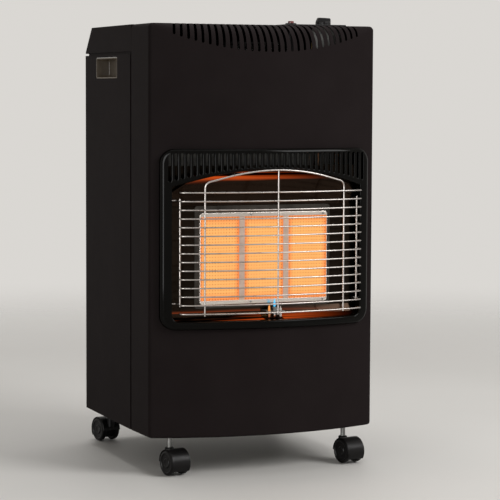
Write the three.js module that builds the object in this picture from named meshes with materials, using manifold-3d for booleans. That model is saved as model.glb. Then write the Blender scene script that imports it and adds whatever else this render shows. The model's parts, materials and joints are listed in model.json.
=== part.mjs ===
// A portable gas cabinet heater: a sheet-steel cabinet on four twin-wheel castors, with a bowed
// front, a radiant burner of three ceramic plaques behind a wire guard, and room for a gas bottle
// at the back. Millimetres, +Z up, the floor at z = 0, the front towards -Y.
import * as THREE from "three";
import { mergeVertices } from "three/addons/utils/BufferGeometryUtils.js";
import Module from "manifold-3d";

const wasm = await Module();
wasm.setup();

// ---------------------------------------------------------------- driving dimensions

// Cabinet
const cabinetWidth = 400;
const bodyHeight = 677; // underside of the panels to the top
const groundClearance = 63; // floor to the underside of the panels
const sideDepth = 347; // front corners to the back edge of the side panels
const frontBow = 38; // how far the front stands out at its middle
const rearBulge = 45; // how far the bottle cover stands out at its middle
const returnDepth = 91; // the front shell's side returns
const cornerRadius = 8;
const sheet = 1.2; // steel sheet
const gap = 0.3; // between pieces that touch
const seamWidth = 6; // dark groove between the front shell and the side panels
const seamDepth = 4;
const seamLap = 18; // how far the side panels run on behind the front shell
const rearTurnIn = 15; // the side panels' turned-in back edges
const footWidth = 20; // their turned-in lower edges

// Louvred roll along the top of the front
const rollMiddle = 45.7; // roll radius at the middle
const rollAtLastSlot = 18.5; // roll radius at the outermost slots
const rollLeast = 8;
const louvreCount = 29;
const louvrePitch = 11.75; // along the arc
const louvreWidth = 4.6;
const louvreDeckRun = 8; // how far the slots run on behind the roll

// Top cover
const coverHeight = 45;
const coverSlantRun = 36; // the slanted back, front to back
const coverGap = 3.6; // shadow gap under the skirt
const coverUpstand = 12; // the side panels' flange behind the skirt

// Bottle cover and the rail above it
const rearCoverLift = 6; // its lower edge above the underside of the panels
const rearCoverDrop = 8; // its upper edge below the top cover's skirt
const rearCoverLip = 12; // its turned-in side edges
const hookWidth = 4;
const hookInset = 10; // a hook's middle inside the cabinet's side
const hookTongue = 9; // how far a hook reaches down behind its slot
const hookArm = 14;
const hookSlotHeight = 34;
const rearVentCount = 9;
const rearVentPitch = 26;
const rearVentLength = 18;
const rearVentHeight = 5;
const railHeight = 30;
const railDepth = 22;

// Window and its surround, heights above the underside of the panels
const bezelMargin = 15; // from the cabinet's sides
const bezelBottom = 179;
const bezelTop = 474;
const bezelProud = 9;
const bezelSheet = 1.5;
const bezelCorner = 23;
const bezelLap = 7; // how far it laps over the panel's hole
const bezelReturn = 16; // depth of its inner lip, behind its face
const windowMargin = 18; // from the bezel's sides
const windowBottom = 192.5;
const windowSpring = 411.5; // where the arch starts
const windowCrown = 440;
const windowCorner = 12;
const ventCount = 36;
const ventMargin = 14; // the outermost vents' middles, from the bezel's sides
const ventWidth = 4.4;
const ventTop = 467;
const ventBottomMiddle = 444;
const ventBottomEnd = 421;

// Wire guard
const guardProud = 29; // outside the panel
const wireRadius = 1.4;
const frameWireRadius = 1.7;
const guardMargin = 7; // the wires' bends, from the window's sides
const guardUprightMargin = 44.4; // outer uprights, from the window's sides
const guardTurnIn = 3; // end rods, from the wires' bends
const guardRodDepth = 16; // end rods behind the wires' ends
const guardWires = 15;
const guardPitch = 14.05;
const guardFirst = 207.4; // lowest wire above the underside of the panels
const archEnd = 418;
const guardLegDepth = 18; // how far the four legs reach back from the end rods

// Firebox and burner
const fireboxMargin = 5; // round the window
const fireboxHeadroom = 6; // above the window's crown
const fireboxBack = 2; // depth behind the front corners
const burnerFront = -5;
const burnerSideRim = 1; // outside the outer plaques
const burnerRim = 6; // above and below the plaques
const burnerBottom = 216.5;
const burnerDepth = 50;
const plaqueWidth = 69;
const plaqueHeight = 140;
const plaqueGap = 0.55; // to the strip beside it
const plaqueThickness = 12;
const stripWidth = 8.4;
const stripThickness = 4;
const burnerFace = 1.5; // thickness of the burner frame's front
const burnerWall = 0.7; // and of its sides
const mixingTubeRadius = 9;
const mixingTubeDrop = 14;
const manifoldRadius = 5;
const manifoldDepth = 26;
const manifoldLift = 192;
const manifoldReach = 49.5; // past the outer plaque's middle
const manifoldTail = 12;

// Pilot, left to right: thermocouple, pilot, electrode
const pilotX = 13.7;
const pilotPitch = 10;
const pilotDepth = -19;
const pilotLift = 10.5; // above the firebox's floor
const probeRadius = 2.2;

// Bottle compartment
const shieldDepth = 70; // the heat shield behind the front corners
const shelfDrop = 105; // below the top
const shelfRun = 65;
const trayFlange = 20;
const trayMargin = 6.5; // inside the cabinet's sides
const standHalfWidth = 150; // the raised part under the bottle
const standRise = 3;

// Controls
const controlDepth = 58;
const knobMargin = 68.5; // from the cabinet's right side
const igniterPitch = 59.3; // from the knob
const valveHalfWidth = 16;
const valveHalfDepth = 13;
const valveDrop = 62; // the valve's underside below the top
const valveNeckDrop = 14;
const stemBore = 4.3;
const piezoDrop = 52;
const inletDepth = 122;
const inletOffset = 6; // the inlet's middle, left of the knob's
const plateLeftOfIgniter = 17.2;
const plateRightOfKnob = 31.5;
const plateDepth = 50;
const plateThickness = 2.5;
const knobRadius = 13;
const knobRise = 15.3; // above the top
const knobSink = 3; // the knob's lower edge below the top
const buttonRadius = 5;
const buttonRise = 8.7;

// Hand grips
const gripRearMargin = 62; // from the side panel's back edge
const gripLength = 118;
const gripDrop = 89; // its lower edge below the top
const gripHeight = 36;
const gripDepth = 26;
const gripRim = 3;
const gripWall = 2;

// Castors
const wheelRadius = 20.5;
const wheelWidth = 8.6;
const wheelInner = 8.8; // half the space between a castor's wheels
const trail = 17; // stem to axle
const axleRadius = 2.5;
const stemRadius = 4;
const stemCollar = 3; // its collar under the base tray
const hoodRadius = 22.8;
const hoodClearance = 8; // under its lower edge
const castorMargin = 42.6; // stems from the cabinet's sides
const castorFront = 20.6; // front stems behind the front corners
const castorRearMargin = 8; // rear stems from the side panels' back edges

// ---------------------------------------------------------------- derived values

const bottom = groundClearance;
const top = bottom + bodyHeight;
const halfWidth = cabinetWidth / 2;
const bowRadius = (halfWidth ** 2 + frontBow ** 2) / (2 * frontBow);
const bowCentre = bowRadius - frontBow; // depth of the front arc's centre
const rearHalf = halfWidth - 4;
const rearRadius = (rearHalf ** 2 + rearBulge ** 2) / (2 * rearBulge);
const rearCentre = sideDepth + rearBulge - rearRadius;
const lastSlot = (louvrePitch * (louvreCount - 1)) / 2 / bowRadius; // its angle
const seam = returnDepth + seamWidth; // where the side panels' faces start
const bezelHalfWidth = halfWidth - bezelMargin;
const windowHalfWidth = bezelHalfWidth - windowMargin;
const ventHalfSpan = bezelHalfWidth - ventMargin;
const guardHalfWidth = windowHalfWidth - guardMargin;
const guardRodHalf = guardHalfWidth - guardTurnIn;
const guardUpright = windowHalfWidth - guardUprightMargin;
const fireboxHalfWidth = windowHalfWidth + fireboxMargin;
const fireboxBottom = windowBottom - fireboxMargin;
const fireboxTop = windowCrown + fireboxHeadroom;
const plaquePitch = plaqueWidth + stripWidth + 2 * plaqueGap;
const burnerHalfWidth = plaquePitch + plaqueWidth / 2 + burnerSideRim;
const burnerHeight = plaqueHeight + 2 * burnerRim;
const manifoldEnd = plaquePitch + manifoldReach;
const shelfHeight = bodyHeight - shelfDrop;
const trayHalfWidth = halfWidth - trayMargin;
const knobX = halfWidth - knobMargin;
const igniterX = knobX - igniterPitch;
const plateLeft = igniterX - plateLeftOfIgniter;
const plateRight = knobX + plateRightOfKnob;
const inletX = knobX - inletOffset;
const gripBottom = bodyHeight - gripDrop;
const gripBack = sideDepth - gripRearMargin;
const gripFront = gripBack - gripLength;
const castorX = halfWidth - castorMargin;
const castorRear = sideDepth - castorRearMargin;
const panelTop = top - coverHeight - coverGap;
const plaqueFront = burnerFront + burnerFace + gap;
const manifoldHeight = bottom + manifoldLift;
const valveBottom = top - valveDrop;
const valveTop = top - valveNeckDrop;
const piezoBottom = top - piezoDrop;
const thermocoupleX = pilotX - pilotPitch;
const ignitionX = pilotX + pilotPitch;
const pilotBase = bottom + fireboxBottom + pilotLift;

// ---------------------------------------------------------------- solids

// A three.js geometry as a solid.
function solid(geometry) {
  geometry.deleteAttribute("normal");
  geometry.deleteAttribute("uv");
  const merged = mergeVertices(geometry, 1e-4);
  return new wasm.Manifold(
    new wasm.Mesh({
      numProp: 3,
      vertProperties: merged.attributes.position.array,
      triVerts: new Uint32Array(merged.index.array),
    }),
  );
}

// A solid as a three.js geometry.
function geometryOf(body) {
  const mesh = body.getMesh();
  const geometry = new THREE.BufferGeometry();
  const positions = new THREE.BufferAttribute(new Float32Array(mesh.vertProperties), 3);
  geometry.setAttribute("position", positions);
  geometry.setIndex(new THREE.BufferAttribute(new Uint32Array(mesh.triVerts), 1));
  geometry.computeVertexNormals();
  return geometry;
}

function join(bodies) {
  return bodies.reduce((whole, next) => whole.add(next));
}

function cut(body, cutters) {
  return cutters.reduce((whole, next) => whole.subtract(next), body);
}

function block(x0, x1, y0, y1, z0, z1) {
  const geometry = new THREE.BoxGeometry(x1 - x0, y1 - y0, z1 - z0);
  geometry.translate((x0 + x1) / 2, (y0 + y1) / 2, (z0 + z1) / 2);
  return solid(geometry);
}

function extrude(points, length) {
  const shape = new THREE.Shape(points.map(([x, y]) => new THREE.Vector2(x, y)));
  return new THREE.ExtrudeGeometry(shape, { depth: length, bevelEnabled: false });
}

// An outline seen from above, from z0 up to z1.
function prism(points, z0, z1) {
  const geometry = extrude(points, z1 - z0);
  geometry.translate(0, 0, z0);
  return solid(geometry);
}

// An outline seen from the front, as [x, z], from depth y0 back to y1.
function frontPrism(points, y0, y1) {
  const geometry = extrude(points, y1 - y0);
  geometry.rotateX(Math.PI / 2);
  geometry.translate(0, y1, 0);
  return solid(geometry);
}

// An outline seen from the right, as [y, z], from x0 to x1.
function sidePrism(points, x0, x1) {
  const geometry = extrude(points, x1 - x0);
  geometry.rotateX(Math.PI / 2);
  geometry.rotateZ(Math.PI / 2);
  geometry.translate(x0, 0, 0);
  return solid(geometry);
}

function cylinder(radius, z0, z1, sides = 24) {
  const geometry = new THREE.CylinderGeometry(radius, radius, z1 - z0, sides);
  geometry.rotateX(Math.PI / 2);
  geometry.translate(0, 0, (z0 + z1) / 2);
  return geometry;
}

function post(x, y, radius, z0, z1, sides = 24) {
  const geometry = cylinder(radius, z0, z1, sides);
  geometry.translate(x, y, 0);
  return solid(geometry);
}

// A turned piece about the Z axis, from [radius, z] points that run upwards.
function turned(points, sides = 24) {
  const profile = points.map(([radius, z]) => new THREE.Vector2(radius, z));
  const geometry = new THREE.LatheGeometry(profile, sides);
  geometry.rotateX(Math.PI / 2);
  return geometry;
}

// A round tube or rod along straight runs whose corners are rounded.
function bentRod(points, radius, bend, sides = 8, arcSteps = 3) {
  const corners = points.map((point) => new THREE.Vector3(...point));
  const route = [corners[0]];
  for (let i = 1; i < corners.length - 1; i++) {
    const here = corners[i];
    const before = here.clone().add(corners[i - 1].clone().sub(here).setLength(bend));
    const after = here.clone().add(corners[i + 1].clone().sub(here).setLength(bend));
    const curve = new THREE.QuadraticBezierCurve3(before, here, after);
    route.push(...curve.getPoints(arcSteps));
  }
  route.push(corners.at(-1));
  return sweep(route, radius, sides);
}

// A round section carried along a route of points, closed at both ends.
function sweep(route, radius, sides) {
  const rings = route.map((point, i) => {
    const ahead = route[Math.min(i + 1, route.length - 1)];
    const behind = route[Math.max(i - 1, 0)];
    return { point, tangent: ahead.clone().sub(behind).normalize() };
  });
  const first = rings[0].tangent;
  const away = Math.abs(first.z) < 0.9 ? new THREE.Vector3(0, 0, 1) : new THREE.Vector3(1, 0, 0);
  let normal = away.sub(first.clone().multiplyScalar(away.dot(first))).normalize();
  const positions = [];
  rings.forEach(({ point, tangent }) => {
    normal = normal.clone().sub(tangent.clone().multiplyScalar(normal.dot(tangent))).normalize();
    const side = tangent.clone().cross(normal);
    for (let k = 0; k < sides; k++) {
      const angle = (2 * Math.PI * k) / sides;
      const spoke = normal.clone().multiplyScalar(radius * Math.cos(angle));
      spoke.addScaledVector(side, radius * Math.sin(angle));
      positions.push(...point.clone().add(spoke).toArray());
    }
  });
  return solid(lattice(positions, rings.length, sides));
}

// Closed sections of equal count, one after another, joined by faces and capped at both ends.
function lattice(positions, rows, columns) {
  const index = [];
  for (let i = 0; i < rows - 1; i++) {
    for (let k = 0; k < columns; k++) {
      const a = i * columns + k;
      const b = i * columns + ((k + 1) % columns);
      index.push(a, b, b + columns, a, b + columns, a + columns);
    }
  }
  const last = (rows - 1) * columns;
  for (let k = 1; k < columns - 1; k++) {
    index.push(0, k + 1, k, last, last + k, last + k + 1);
  }
  const geometry = new THREE.BufferGeometry();
  geometry.setAttribute("position", new THREE.Float32BufferAttribute(positions, 3));
  geometry.setIndex(index);
  return geometry;
}

// ---------------------------------------------------------------- the bowed front

// A point at an angle round the front arc, a distance outside the panel's face.
function onBow(angle, out) {
  const radius = bowRadius + out;
  return [radius * Math.sin(angle), bowCentre - radius * Math.cos(angle)];
}

// Depth of the front arc at x, a distance outside the panel's face.
function bowDepth(x, out = 0) {
  return bowCentre - Math.sqrt((bowRadius + out) ** 2 - x ** 2);
}

function bowPoints(x0, x1, out, steps) {
  const radius = bowRadius + out;
  const a0 = Math.asin(x0 / radius);
  const a1 = Math.asin(x1 / radius);
  return steppedPoints(steps, (share) => onBow(a0 + (a1 - a0) * share, out));
}

function steppedPoints(steps, place) {
  return Array.from({ length: steps + 1 }, (_, i) => place(i / steps));
}

// The layer between two distances outside the panel's face.
function bowLayer(x0, x1, inner, outer, z0, z1, steps = 22) {
  const outside = bowPoints(x0, x1, outer, steps);
  const inside = bowPoints(x0, x1, inner, steps).reverse();
  return prism([...outside, ...inside], z0, z1);
}

// The front shell's outline from above, moved inwards by inset, open towards the back.
function shellOutline(inset, back) {
  const side = halfWidth - inset;
  const centreX = halfWidth - cornerRadius;
  const centreY = bowCentre - Math.sqrt((bowRadius - cornerRadius) ** 2 - centreX ** 2);
  const turn = Math.asin(centreX / (bowRadius - cornerRadius));
  const radius = cornerRadius - inset;
  const corner = steppedPoints(3, (share) => {
    const angle = Math.PI / 2 + (turn - Math.PI / 2) * share;
    return [centreX + radius * Math.sin(angle), centreY - radius * Math.cos(angle)];
  });
  const arc = steppedPoints(18, (share) => onBow(turn * (1 - 2 * share), -inset));
  const mirrored = corner.map(([x, y]) => [-x, y]).reverse();
  return [[side, back], ...corner, ...arc.slice(1, -1), ...mirrored, [-side, back]].reverse();
}

// The top roll's radius at an angle round the front arc: a shallow smile.
function rollRadius(angle) {
  const share = (angle / lastSlot) ** 2;
  return Math.max(rollLeast, rollMiddle - (rollMiddle - rollAtLastSlot) * share);
}

// What the top roll takes off a square front edge, inset by the sheet for the inside.
function rollCutter(inset) {
  const reach = 30;
  const widest = Math.asin(halfWidth / bowRadius) + 0.0845;
  const rows = 20;
  const arcSteps = 4;
  const positions = [];
  for (let i = 0; i <= rows; i++) {
    const angle = widest * ((2 * i) / rows - 1);
    const roll = rollRadius(angle);
    const section = steppedPoints(arcSteps, (share) => {
      const rise = (share * Math.PI) / 2;
      const radius = roll - inset;
      return [-roll + radius * Math.cos(rise), top - roll + radius * Math.sin(rise)];
    });
    section.push([-roll, top + reach], [reach, top + reach], [reach, top - roll]);
    section.forEach(([out, z]) => positions.push(...onBow(angle, out), z));
  }
  return solid(lattice(positions, rows + 1, arcSteps + 4));
}

// The front panel with its side returns and its deck, as thin sheet.
function frontShellBody() {
  const back = returnDepth;
  const outer = prism(shellOutline(0, back), bottom, top).subtract(rollCutter(0));
  const inside = prism(shellOutline(sheet, back + 1), bottom - 1, top - sheet);
  return outer.subtract(inside.subtract(rollCutter(sheet)));
}

function louvreCutters() {
  return Array.from({ length: louvreCount }, (_, i) => {
    const angle = (i * louvrePitch) / bowRadius - lastSlot;
    const roll = rollRadius(angle);
    const reach = roll + louvreDeckRun + 6;
    const geometry = new THREE.BoxGeometry(louvreWidth, reach, roll + 6);
    geometry.translate(0, reach / 2 - 6 - bowRadius, top - roll + (roll + 6) / 2);
    geometry.rotateZ(angle);
    geometry.translate(0, bowCentre, 0);
    return solid(geometry);
  });
}

function frontShell() {
  const halfHole = bezelHalfWidth - bezelLap;
  const hole = block(
    -halfHole,
    halfHole,
    -frontBow - 10,
    sheet,
    bottom + bezelBottom + bezelLap,
    bottom + bezelTop - bezelLap,
  );
  const controls = block(
    plateLeft + 5,
    plateRight - 5,
    controlDepth - plateDepth / 2 + 5,
    controlDepth + plateDepth / 2 - 5,
    top - 5,
    top + 5,
  );
  return cut(frontShellBody(), [hole, controls, ...louvreCutters()]);
}

// ---------------------------------------------------------------- cabinet sheets

// A side panel: its front edge joggles in behind the front shell and its top edge behind the
// cover's skirt, its back and lower edges turn in.
function sidePanel(side) {
  const x = halfWidth;
  const t = sheet;
  const floor = x - seamDepth;
  const lap = x - sheet - gap;
  const outline = [
    [x, seam],
    [x, sideDepth],
    [x - rearTurnIn, sideDepth],
    [x - rearTurnIn, sideDepth - t],
    [x - t, sideDepth - t],
    [x - t, seam + t],
    [floor - t, seam + t],
    [floor - t, returnDepth],
    [lap - t, returnDepth - seamDepth],
    [lap - t, returnDepth - seamLap],
    [lap, returnDepth - seamLap],
    [lap, returnDepth - seamDepth],
    [floor, returnDepth],
    [floor, seam],
  ];
  const across = (x0, x1, z0, z1) => block(x0, x1, seam + t, sideDepth - rearTurnIn, z0, z1);
  const foot = block(x - footWidth, x - t / 2, seam + t / 2, sideDepth - t / 2, bottom, bottom + t);
  const upstand = across(lap - t, lap, panelTop - t, panelTop + coverGap + coverUpstand);
  const joggle = across(lap - t, x - t / 2, panelTop - t, panelTop);
  const grip = block(
    x - 3,
    x + 3,
    gripFront,
    gripBack,
    bottom + gripBottom,
    bottom + gripBottom + gripHeight,
  );
  const slots = hookHeights().map((z) =>
    block(
      x - hookInset - hookWidth / 2 - 2 * gap,
      x - hookInset + hookWidth / 2 + 2 * gap,
      sideDepth - 3,
      sideDepth + 3,
      z,
      z + hookSlotHeight,
    ),
  );
  const sheets = join([prism(outline, bottom, panelTop), foot, upstand, joggle]);
  const body = cut(sheets, [grip, ...slots]);
  return side > 0 ? body : body.mirror([1, 0, 0]);
}

// Where the bottle cover's hooks pass through the side panels' back edges.
function hookHeights() {
  return [bottom + 90, bottom + bodyHeight * 0.78];
}

function topCover() {
  const front = returnDepth + gap;
  const back = sideDepth;
  const z0 = top - coverHeight;
  const outline = (inset, past) => [
    [front - past, z0 - past],
    [back - inset, z0 - past],
    [back - inset, z0 + 3],
    [back - coverSlantRun - inset / 2, top - inset],
    [front - past, top - inset],
  ];
  const outer = sidePrism(outline(0, 0), -halfWidth, halfWidth);
  const inner = sidePrism(outline(sheet, 1), -halfWidth + sheet, halfWidth - sheet);
  return outer.subtract(inner);
}

// A shallow pan with a raised stand for the bottle.
function baseTray() {
  const z0 = bottom + sheet + gap;
  const outline = (inset) => {
    const half = trayHalfWidth - inset;
    const rear = halfWidth - footWidth + 1 - inset;
    const step = sideDepth - 4 - inset;
    const back = bowPointsRear(rear, -(4 + inset));
    const front = bowPoints(-half, half, -(sheet + 2 + inset), 12);
    return [...front, [half, step], [rear, step], ...back, [-rear, step], [-half, step]];
  };
  const pan = prism(outline(0), z0, z0 + trayFlange);
  const hollow = prism(outline(sheet), z0 + sheet, z0 + trayFlange + 1);
  const stand = (inset, low, high) =>
    block(
      -standHalfWidth + inset,
      standHalfWidth - inset,
      shieldDepth + 12 + inset,
      castorRear - 12 - inset,
      z0 + low,
      z0 + high,
    );
  const holes = castorPlaces().map(({ x, y }) => post(x, y, stemRadius + gap, z0 - 1, z0 + 5, 16));
  const raised = stand(0, 0, sheet + standRise);
  return cut(pan.subtract(hollow).add(raised), [stand(sheet, -1, standRise), ...holes]);
}

// Points along the bottle cover's arc, from +half to -half.
function bowPointsRear(half, out, steps = 12) {
  const radius = rearRadius + out;
  const reach = Math.asin(half / radius);
  return steppedPoints(steps, (share) => {
    const angle = reach * (1 - 2 * share);
    return [radius * Math.sin(angle), rearCentre + radius * Math.cos(angle)];
  });
}

// The bottle cover: a bulged sheet with four hooks and two rows of vents.
function rearCover() {
  const outside = bowPointsRear(rearHalf, 0, 20);
  const inside = bowPointsRear(rearHalf - sheet, -sheet, 20).reverse();
  const edge = sideDepth + gap;
  const left = outside.at(-1)[0];
  const lip = left + rearCoverLip;
  const outline = [...outside.slice(1, -1), [left, edge], [lip, edge], [lip, edge + sheet]];
  outline.push(...inside.slice(1, -1), [-lip, edge + sheet], [-lip, edge], [-left, edge]);
  const panel = prism(outline, bottom + rearCoverLift, top - coverHeight - rearCoverDrop);
  const hooks = hookHeights().flatMap((z) => [hook(z), hook(z).mirror([1, 0, 0])]);
  return cut(join([panel, ...hooks]), rearVents());
}

// A hook through the slot at height z in the right side panel's back edge.
function hook(z) {
  const x0 = halfWidth - hookInset - hookWidth / 2;
  const x1 = x0 + hookWidth;
  const front = sideDepth - sheet - 2 * gap - 2;
  const arm = block(x0, x1, front, sideDepth + gap + sheet / 2, z + gap, z + hookArm);
  const tongue = block(x0, x1, front, front + 2, z - hookTongue, z + hookArm);
  return arm.add(tongue);
}

function rearVents() {
  const half = rearVentLength / 2;
  const y = sideDepth + rearBulge;
  return [60, 84].flatMap((lift) =>
    Array.from({ length: rearVentCount }, (_, i) => {
      const x = (i - (rearVentCount - 1) / 2) * rearVentPitch;
      const z = bottom + lift;
      return block(x - half, x + half, y - rearBulge / 2, y + 5, z, z + rearVentHeight);
    }),
  );
}

// A cross rail that ties the side panels together above the bottle cover.
function rearRail() {
  const z1 = panelTop - 4;
  const z0 = z1 - railHeight;
  const half = halfWidth - sheet - gap;
  const back = sideDepth - rearTurnIn / 2;
  const front = back - railDepth;
  const hollow = block(-half - 1, half + 1, front + sheet, back + 1, z0 + sheet, z1 - sheet);
  return block(-half, half, front, back, z0, z1).subtract(hollow);
}

// The sheet between burner and bottle, with a shelf under the gas valve.
function heatShield() {
  const z0 = bottom + 2 * sheet + 2 * gap;
  const z1 = bottom + shelfHeight;
  const half = trayHalfWidth - sheet - gap;
  const y = shieldDepth;
  const wall = block(-half, half, y, y + sheet, z0, z1);
  const shelf = block(-half, half, y, y + shelfRun, z1 - sheet, z1);
  const pipeHole = post(inletX, inletDepth, 9, z1 - 5, z1 + 5, 12);
  return join([wall, shelf]).subtract(pipeHole);
}

// The perforated sheet over the burner's outlet, seen through the louvres.
function upperScreen() {
  const z0 = bottom + shelfHeight - 20;
  const holes = [];
  for (let row = 0; row < 2; row++) {
    for (let column = -2; column <= 2; column++) {
      const z = z0 + 40 + row * 26;
      const x = column * 22;
      holes.push(block(x - 8, x + 8, shieldDepth - 30, shieldDepth, z, z + 18));
    }
  }
  const y = shieldDepth - 16;
  const panel = block(-60, 60, y, y + sheet, z0, top - 27);
  const foot = block(-60, 60, y, shieldDepth - gap, z0, z0 + sheet);
  return cut(panel.add(foot), holes);
}

// A moulded cup for the fingers, with a rim outside the panel's hole.
function handGrip(side) {
  const x = halfWidth;
  const z0 = bottom + gripBottom;
  const t = gripWall;
  const place = (grow, x0, x1) =>
    block(x0, x1, gripFront - grow, gripBack + grow, z0 - grow, z0 + gripHeight + grow);
  const cup = place(-gap, x - gripDepth, x + 0.2 - gap);
  const inner = place(gripRim, x - sheet - gap - t, x - sheet - gap);
  const hollow = place(-gap - t, x - gripDepth + t, x + 5);
  const body = cup.add(inner).subtract(hollow);
  return side > 0 ? body : body.mirror([1, 0, 0]);
}

// ---------------------------------------------------------------- window

// A rounded rectangle as [x, z], half its width either side, between two heights.
function roundedOutline(half, z0, z1, radius) {
  return roundedCorners(half, z0, z1, radius).flat();
}

// Its four corners, each a run of points, from the lower right one round to the lower left.
function roundedCorners(half, z0, z1, radius, steps = 4) {
  const centres = [
    [half - radius, z0 + radius, -Math.PI / 2],
    [half - radius, z1 - radius, 0],
    [-half + radius, z1 - radius, Math.PI / 2],
    [-half + radius, z0 + radius, Math.PI],
  ];
  return centres.map(([x, z, start]) =>
    steppedPoints(steps, (share) => {
      const angle = start + (share * Math.PI) / 2;
      return [x + radius * Math.cos(angle), z + radius * Math.sin(angle)];
    }),
  );
}

// The window's outline as [x, z]: rounded lower corners and an arched top, grown outwards.
function windowOutline(grow) {
  const half = windowHalfWidth + grow;
  const z0 = bottom + windowBottom - grow;
  const spring = bottom + windowSpring + grow;
  const rise = windowCrown - windowSpring;
  const radius = windowCorner + grow;
  const [right, , , left] = roundedCorners(half, z0, spring, radius);
  const arch = steppedPoints(16, (share) => {
    const x = half * (1 - 2 * share);
    return [x, spring + rise * (1 - (x / half) ** 2)];
  });
  return [...left, ...right, ...arch];
}

function windowBezel() {
  const z0 = bottom + bezelBottom;
  const z1 = bottom + bezelTop;
  const half = bezelHalfWidth;
  const layer = (inner, outer) => bowLayer(-half - 5, half + 5, inner, outer, z0 - 5, z1 + 5);
  const through = (outline) => frontPrism(outline, -frontBow - 40, 40);
  const rim = roundedOutline(half, z0, z1, bezelCorner);
  const rimInside = roundedOutline(
    half - bezelSheet,
    z0 + bezelSheet,
    z1 - bezelSheet,
    bezelCorner - bezelSheet,
  );
  const pan = layer(gap, bezelProud).intersect(through(rim));
  const hollow = layer(-5, bezelProud - bezelSheet).intersect(through(rimInside));
  const lip = layer(bezelProud - bezelReturn, bezelProud - bezelSheet / 2).intersect(
    through(windowOutline(bezelSheet)),
  );
  const face = cut(pan.subtract(hollow), ventCutters());
  return face.add(lip).subtract(through(windowOutline(0)));
}

function ventCutters() {
  return Array.from({ length: ventCount }, (_, i) => {
    const x = ventHalfSpan * ((2 * i) / (ventCount - 1) - 1);
    const rise = (ventBottomMiddle - ventBottomEnd) * (1 - (x / ventHalfSpan) ** 2);
    const z0 = bottom + ventBottomEnd + rise;
    const front = bowDepth(x, bezelProud) - 4;
    return block(x - ventWidth / 2, x + ventWidth / 2, front, front + 12, z0, bottom + ventTop);
  });
}

// Bowed cross wires with their ends turned back, uprights, an arch wire and two end rods.
function wireGuard() {
  const bodies = [];
  const lift = bottom + guardFirst;
  for (let i = 0; i < guardWires; i++) {
    bodies.push(crossWire(lift + i * guardPitch));
  }
  const highest = lift + (guardWires - 1) * guardPitch;
  const behind = guardProud - wireRadius;
  for (const x of [-guardUpright, guardUpright]) {
    bodies.push(upright(x, bowDepth(x, behind), lift - 4, bottom + archEnd));
  }
  bodies.push(upright(0, bowDepth(0, behind), lift - 4, bottom + windowCrown));
  for (const x of [-guardRodHalf, guardRodHalf]) {
    const y = bowDepth(guardHalfWidth, guardProud) + guardRodDepth;
    bodies.push(upright(x, y, lift + guardPitch - 4, highest - guardPitch + 4));
  }
  bodies.push(archWire(behind));
  for (const i of [1, guardWires - 2]) {
    bodies.push(guardLeg(1, lift + i * guardPitch), guardLeg(-1, lift + i * guardPitch));
  }
  return join(bodies);
}

// A leg from an end rod back through the window and out to its lip.
function guardLeg(side, z) {
  const y = bowDepth(guardHalfWidth, guardProud) + guardRodDepth;
  const route = [
    [side * guardRodHalf, y, z],
    [side * guardRodHalf, y + guardLegDepth, z],
    [side * (windowHalfWidth - gap), y + guardLegDepth, z],
  ];
  return bentRod(route, wireRadius, 3, 5, 2);
}

function crossWire(z) {
  const points = bowPoints(-guardHalfWidth, guardHalfWidth, guardProud, 6);
  const route = points.map(([x, y]) => new THREE.Vector3(x, y, z));
  const [x, y] = points.at(-1);
  const turn = (sign) => [
    new THREE.Vector3(sign * (x + 2), y + 3.5, z),
    new THREE.Vector3(sign * guardRodHalf, y + guardRodDepth + 0.4, z),
  ];
  return sweep([...turn(-1).reverse(), ...route, ...turn(1)], wireRadius, 4);
}

function upright(x, y, z0, z1) {
  return post(x, y, frameWireRadius, z0, z1, 5);
}

function archWire(out) {
  const route = steppedPoints(10, (share) => {
    const x = guardUpright * (2 * share - 1);
    const rise = (windowCrown - archEnd) * (1 - (x / guardUpright) ** 2);
    return new THREE.Vector3(x, bowDepth(x, out), bottom + archEnd + rise);
  });
  return sweep(route, frameWireRadius, 5);
}

// ---------------------------------------------------------------- firebox and burner

// An open-fronted box behind the window, with a hole for the burner in its back.
function firebox() {
  const half = fireboxHalfWidth;
  const z0 = bottom + fireboxBottom;
  const z1 = bottom + fireboxTop;
  const behindSheet = -(sheet + gap);
  const outline = (inset, back) => {
    const front = bowPoints(-half + inset, half - inset, behindSheet, 12);
    return [...front, [half - inset, back], [-half + inset, back]];
  };
  const clearLip = bowLayer(
    -half - 2,
    half + 2,
    bezelProud - bezelReturn - gap,
    5,
    z0 - 5,
    z1 + 5,
    12,
  );
  const outer = prism(outline(0, fireboxBack + sheet), z0, z1);
  const shape = bowPoints(-half + sheet, half - sheet, 5, 12);
  shape.push([half - sheet, fireboxBack], [-half + sheet, fireboxBack]);
  const hollow = prism(shape, z0 + sheet, z1 - sheet);
  const burnerHole = block(
    -burnerHalfWidth + burnerWall,
    burnerHalfWidth - burnerWall,
    -50,
    50,
    bottom + burnerBottom + 4,
    bottom + burnerBottom + burnerHeight - 4,
  );
  const leadHoles = [ignitionX, thermocoupleX, pilotX].map((x) =>
    block(x - 4, x + 4, -50, 50, z0 + 2.5, z0 + 12.5),
  );
  return cut(outer, [hollow, burnerHole, clearLip, ...leadHoles]);
}

// A bent polished sheet between burner and window, from its [depth, height] bends, cut to the
// window lip's bow at its front.
function reflector(bends, thickness) {
  const half = fireboxHalfWidth - sheet - gap;
  const lipBack = bezelProud - bezelReturn - 2 * gap;
  const others = bends.map(([y, z]) => [y, z + thickness]).reverse();
  const whole = sidePrism([...bends, ...others], -half, half);
  return whole.subtract(bowLayer(-half - 5, half + 5, lipBack, 60, bottom, top));
}

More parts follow.
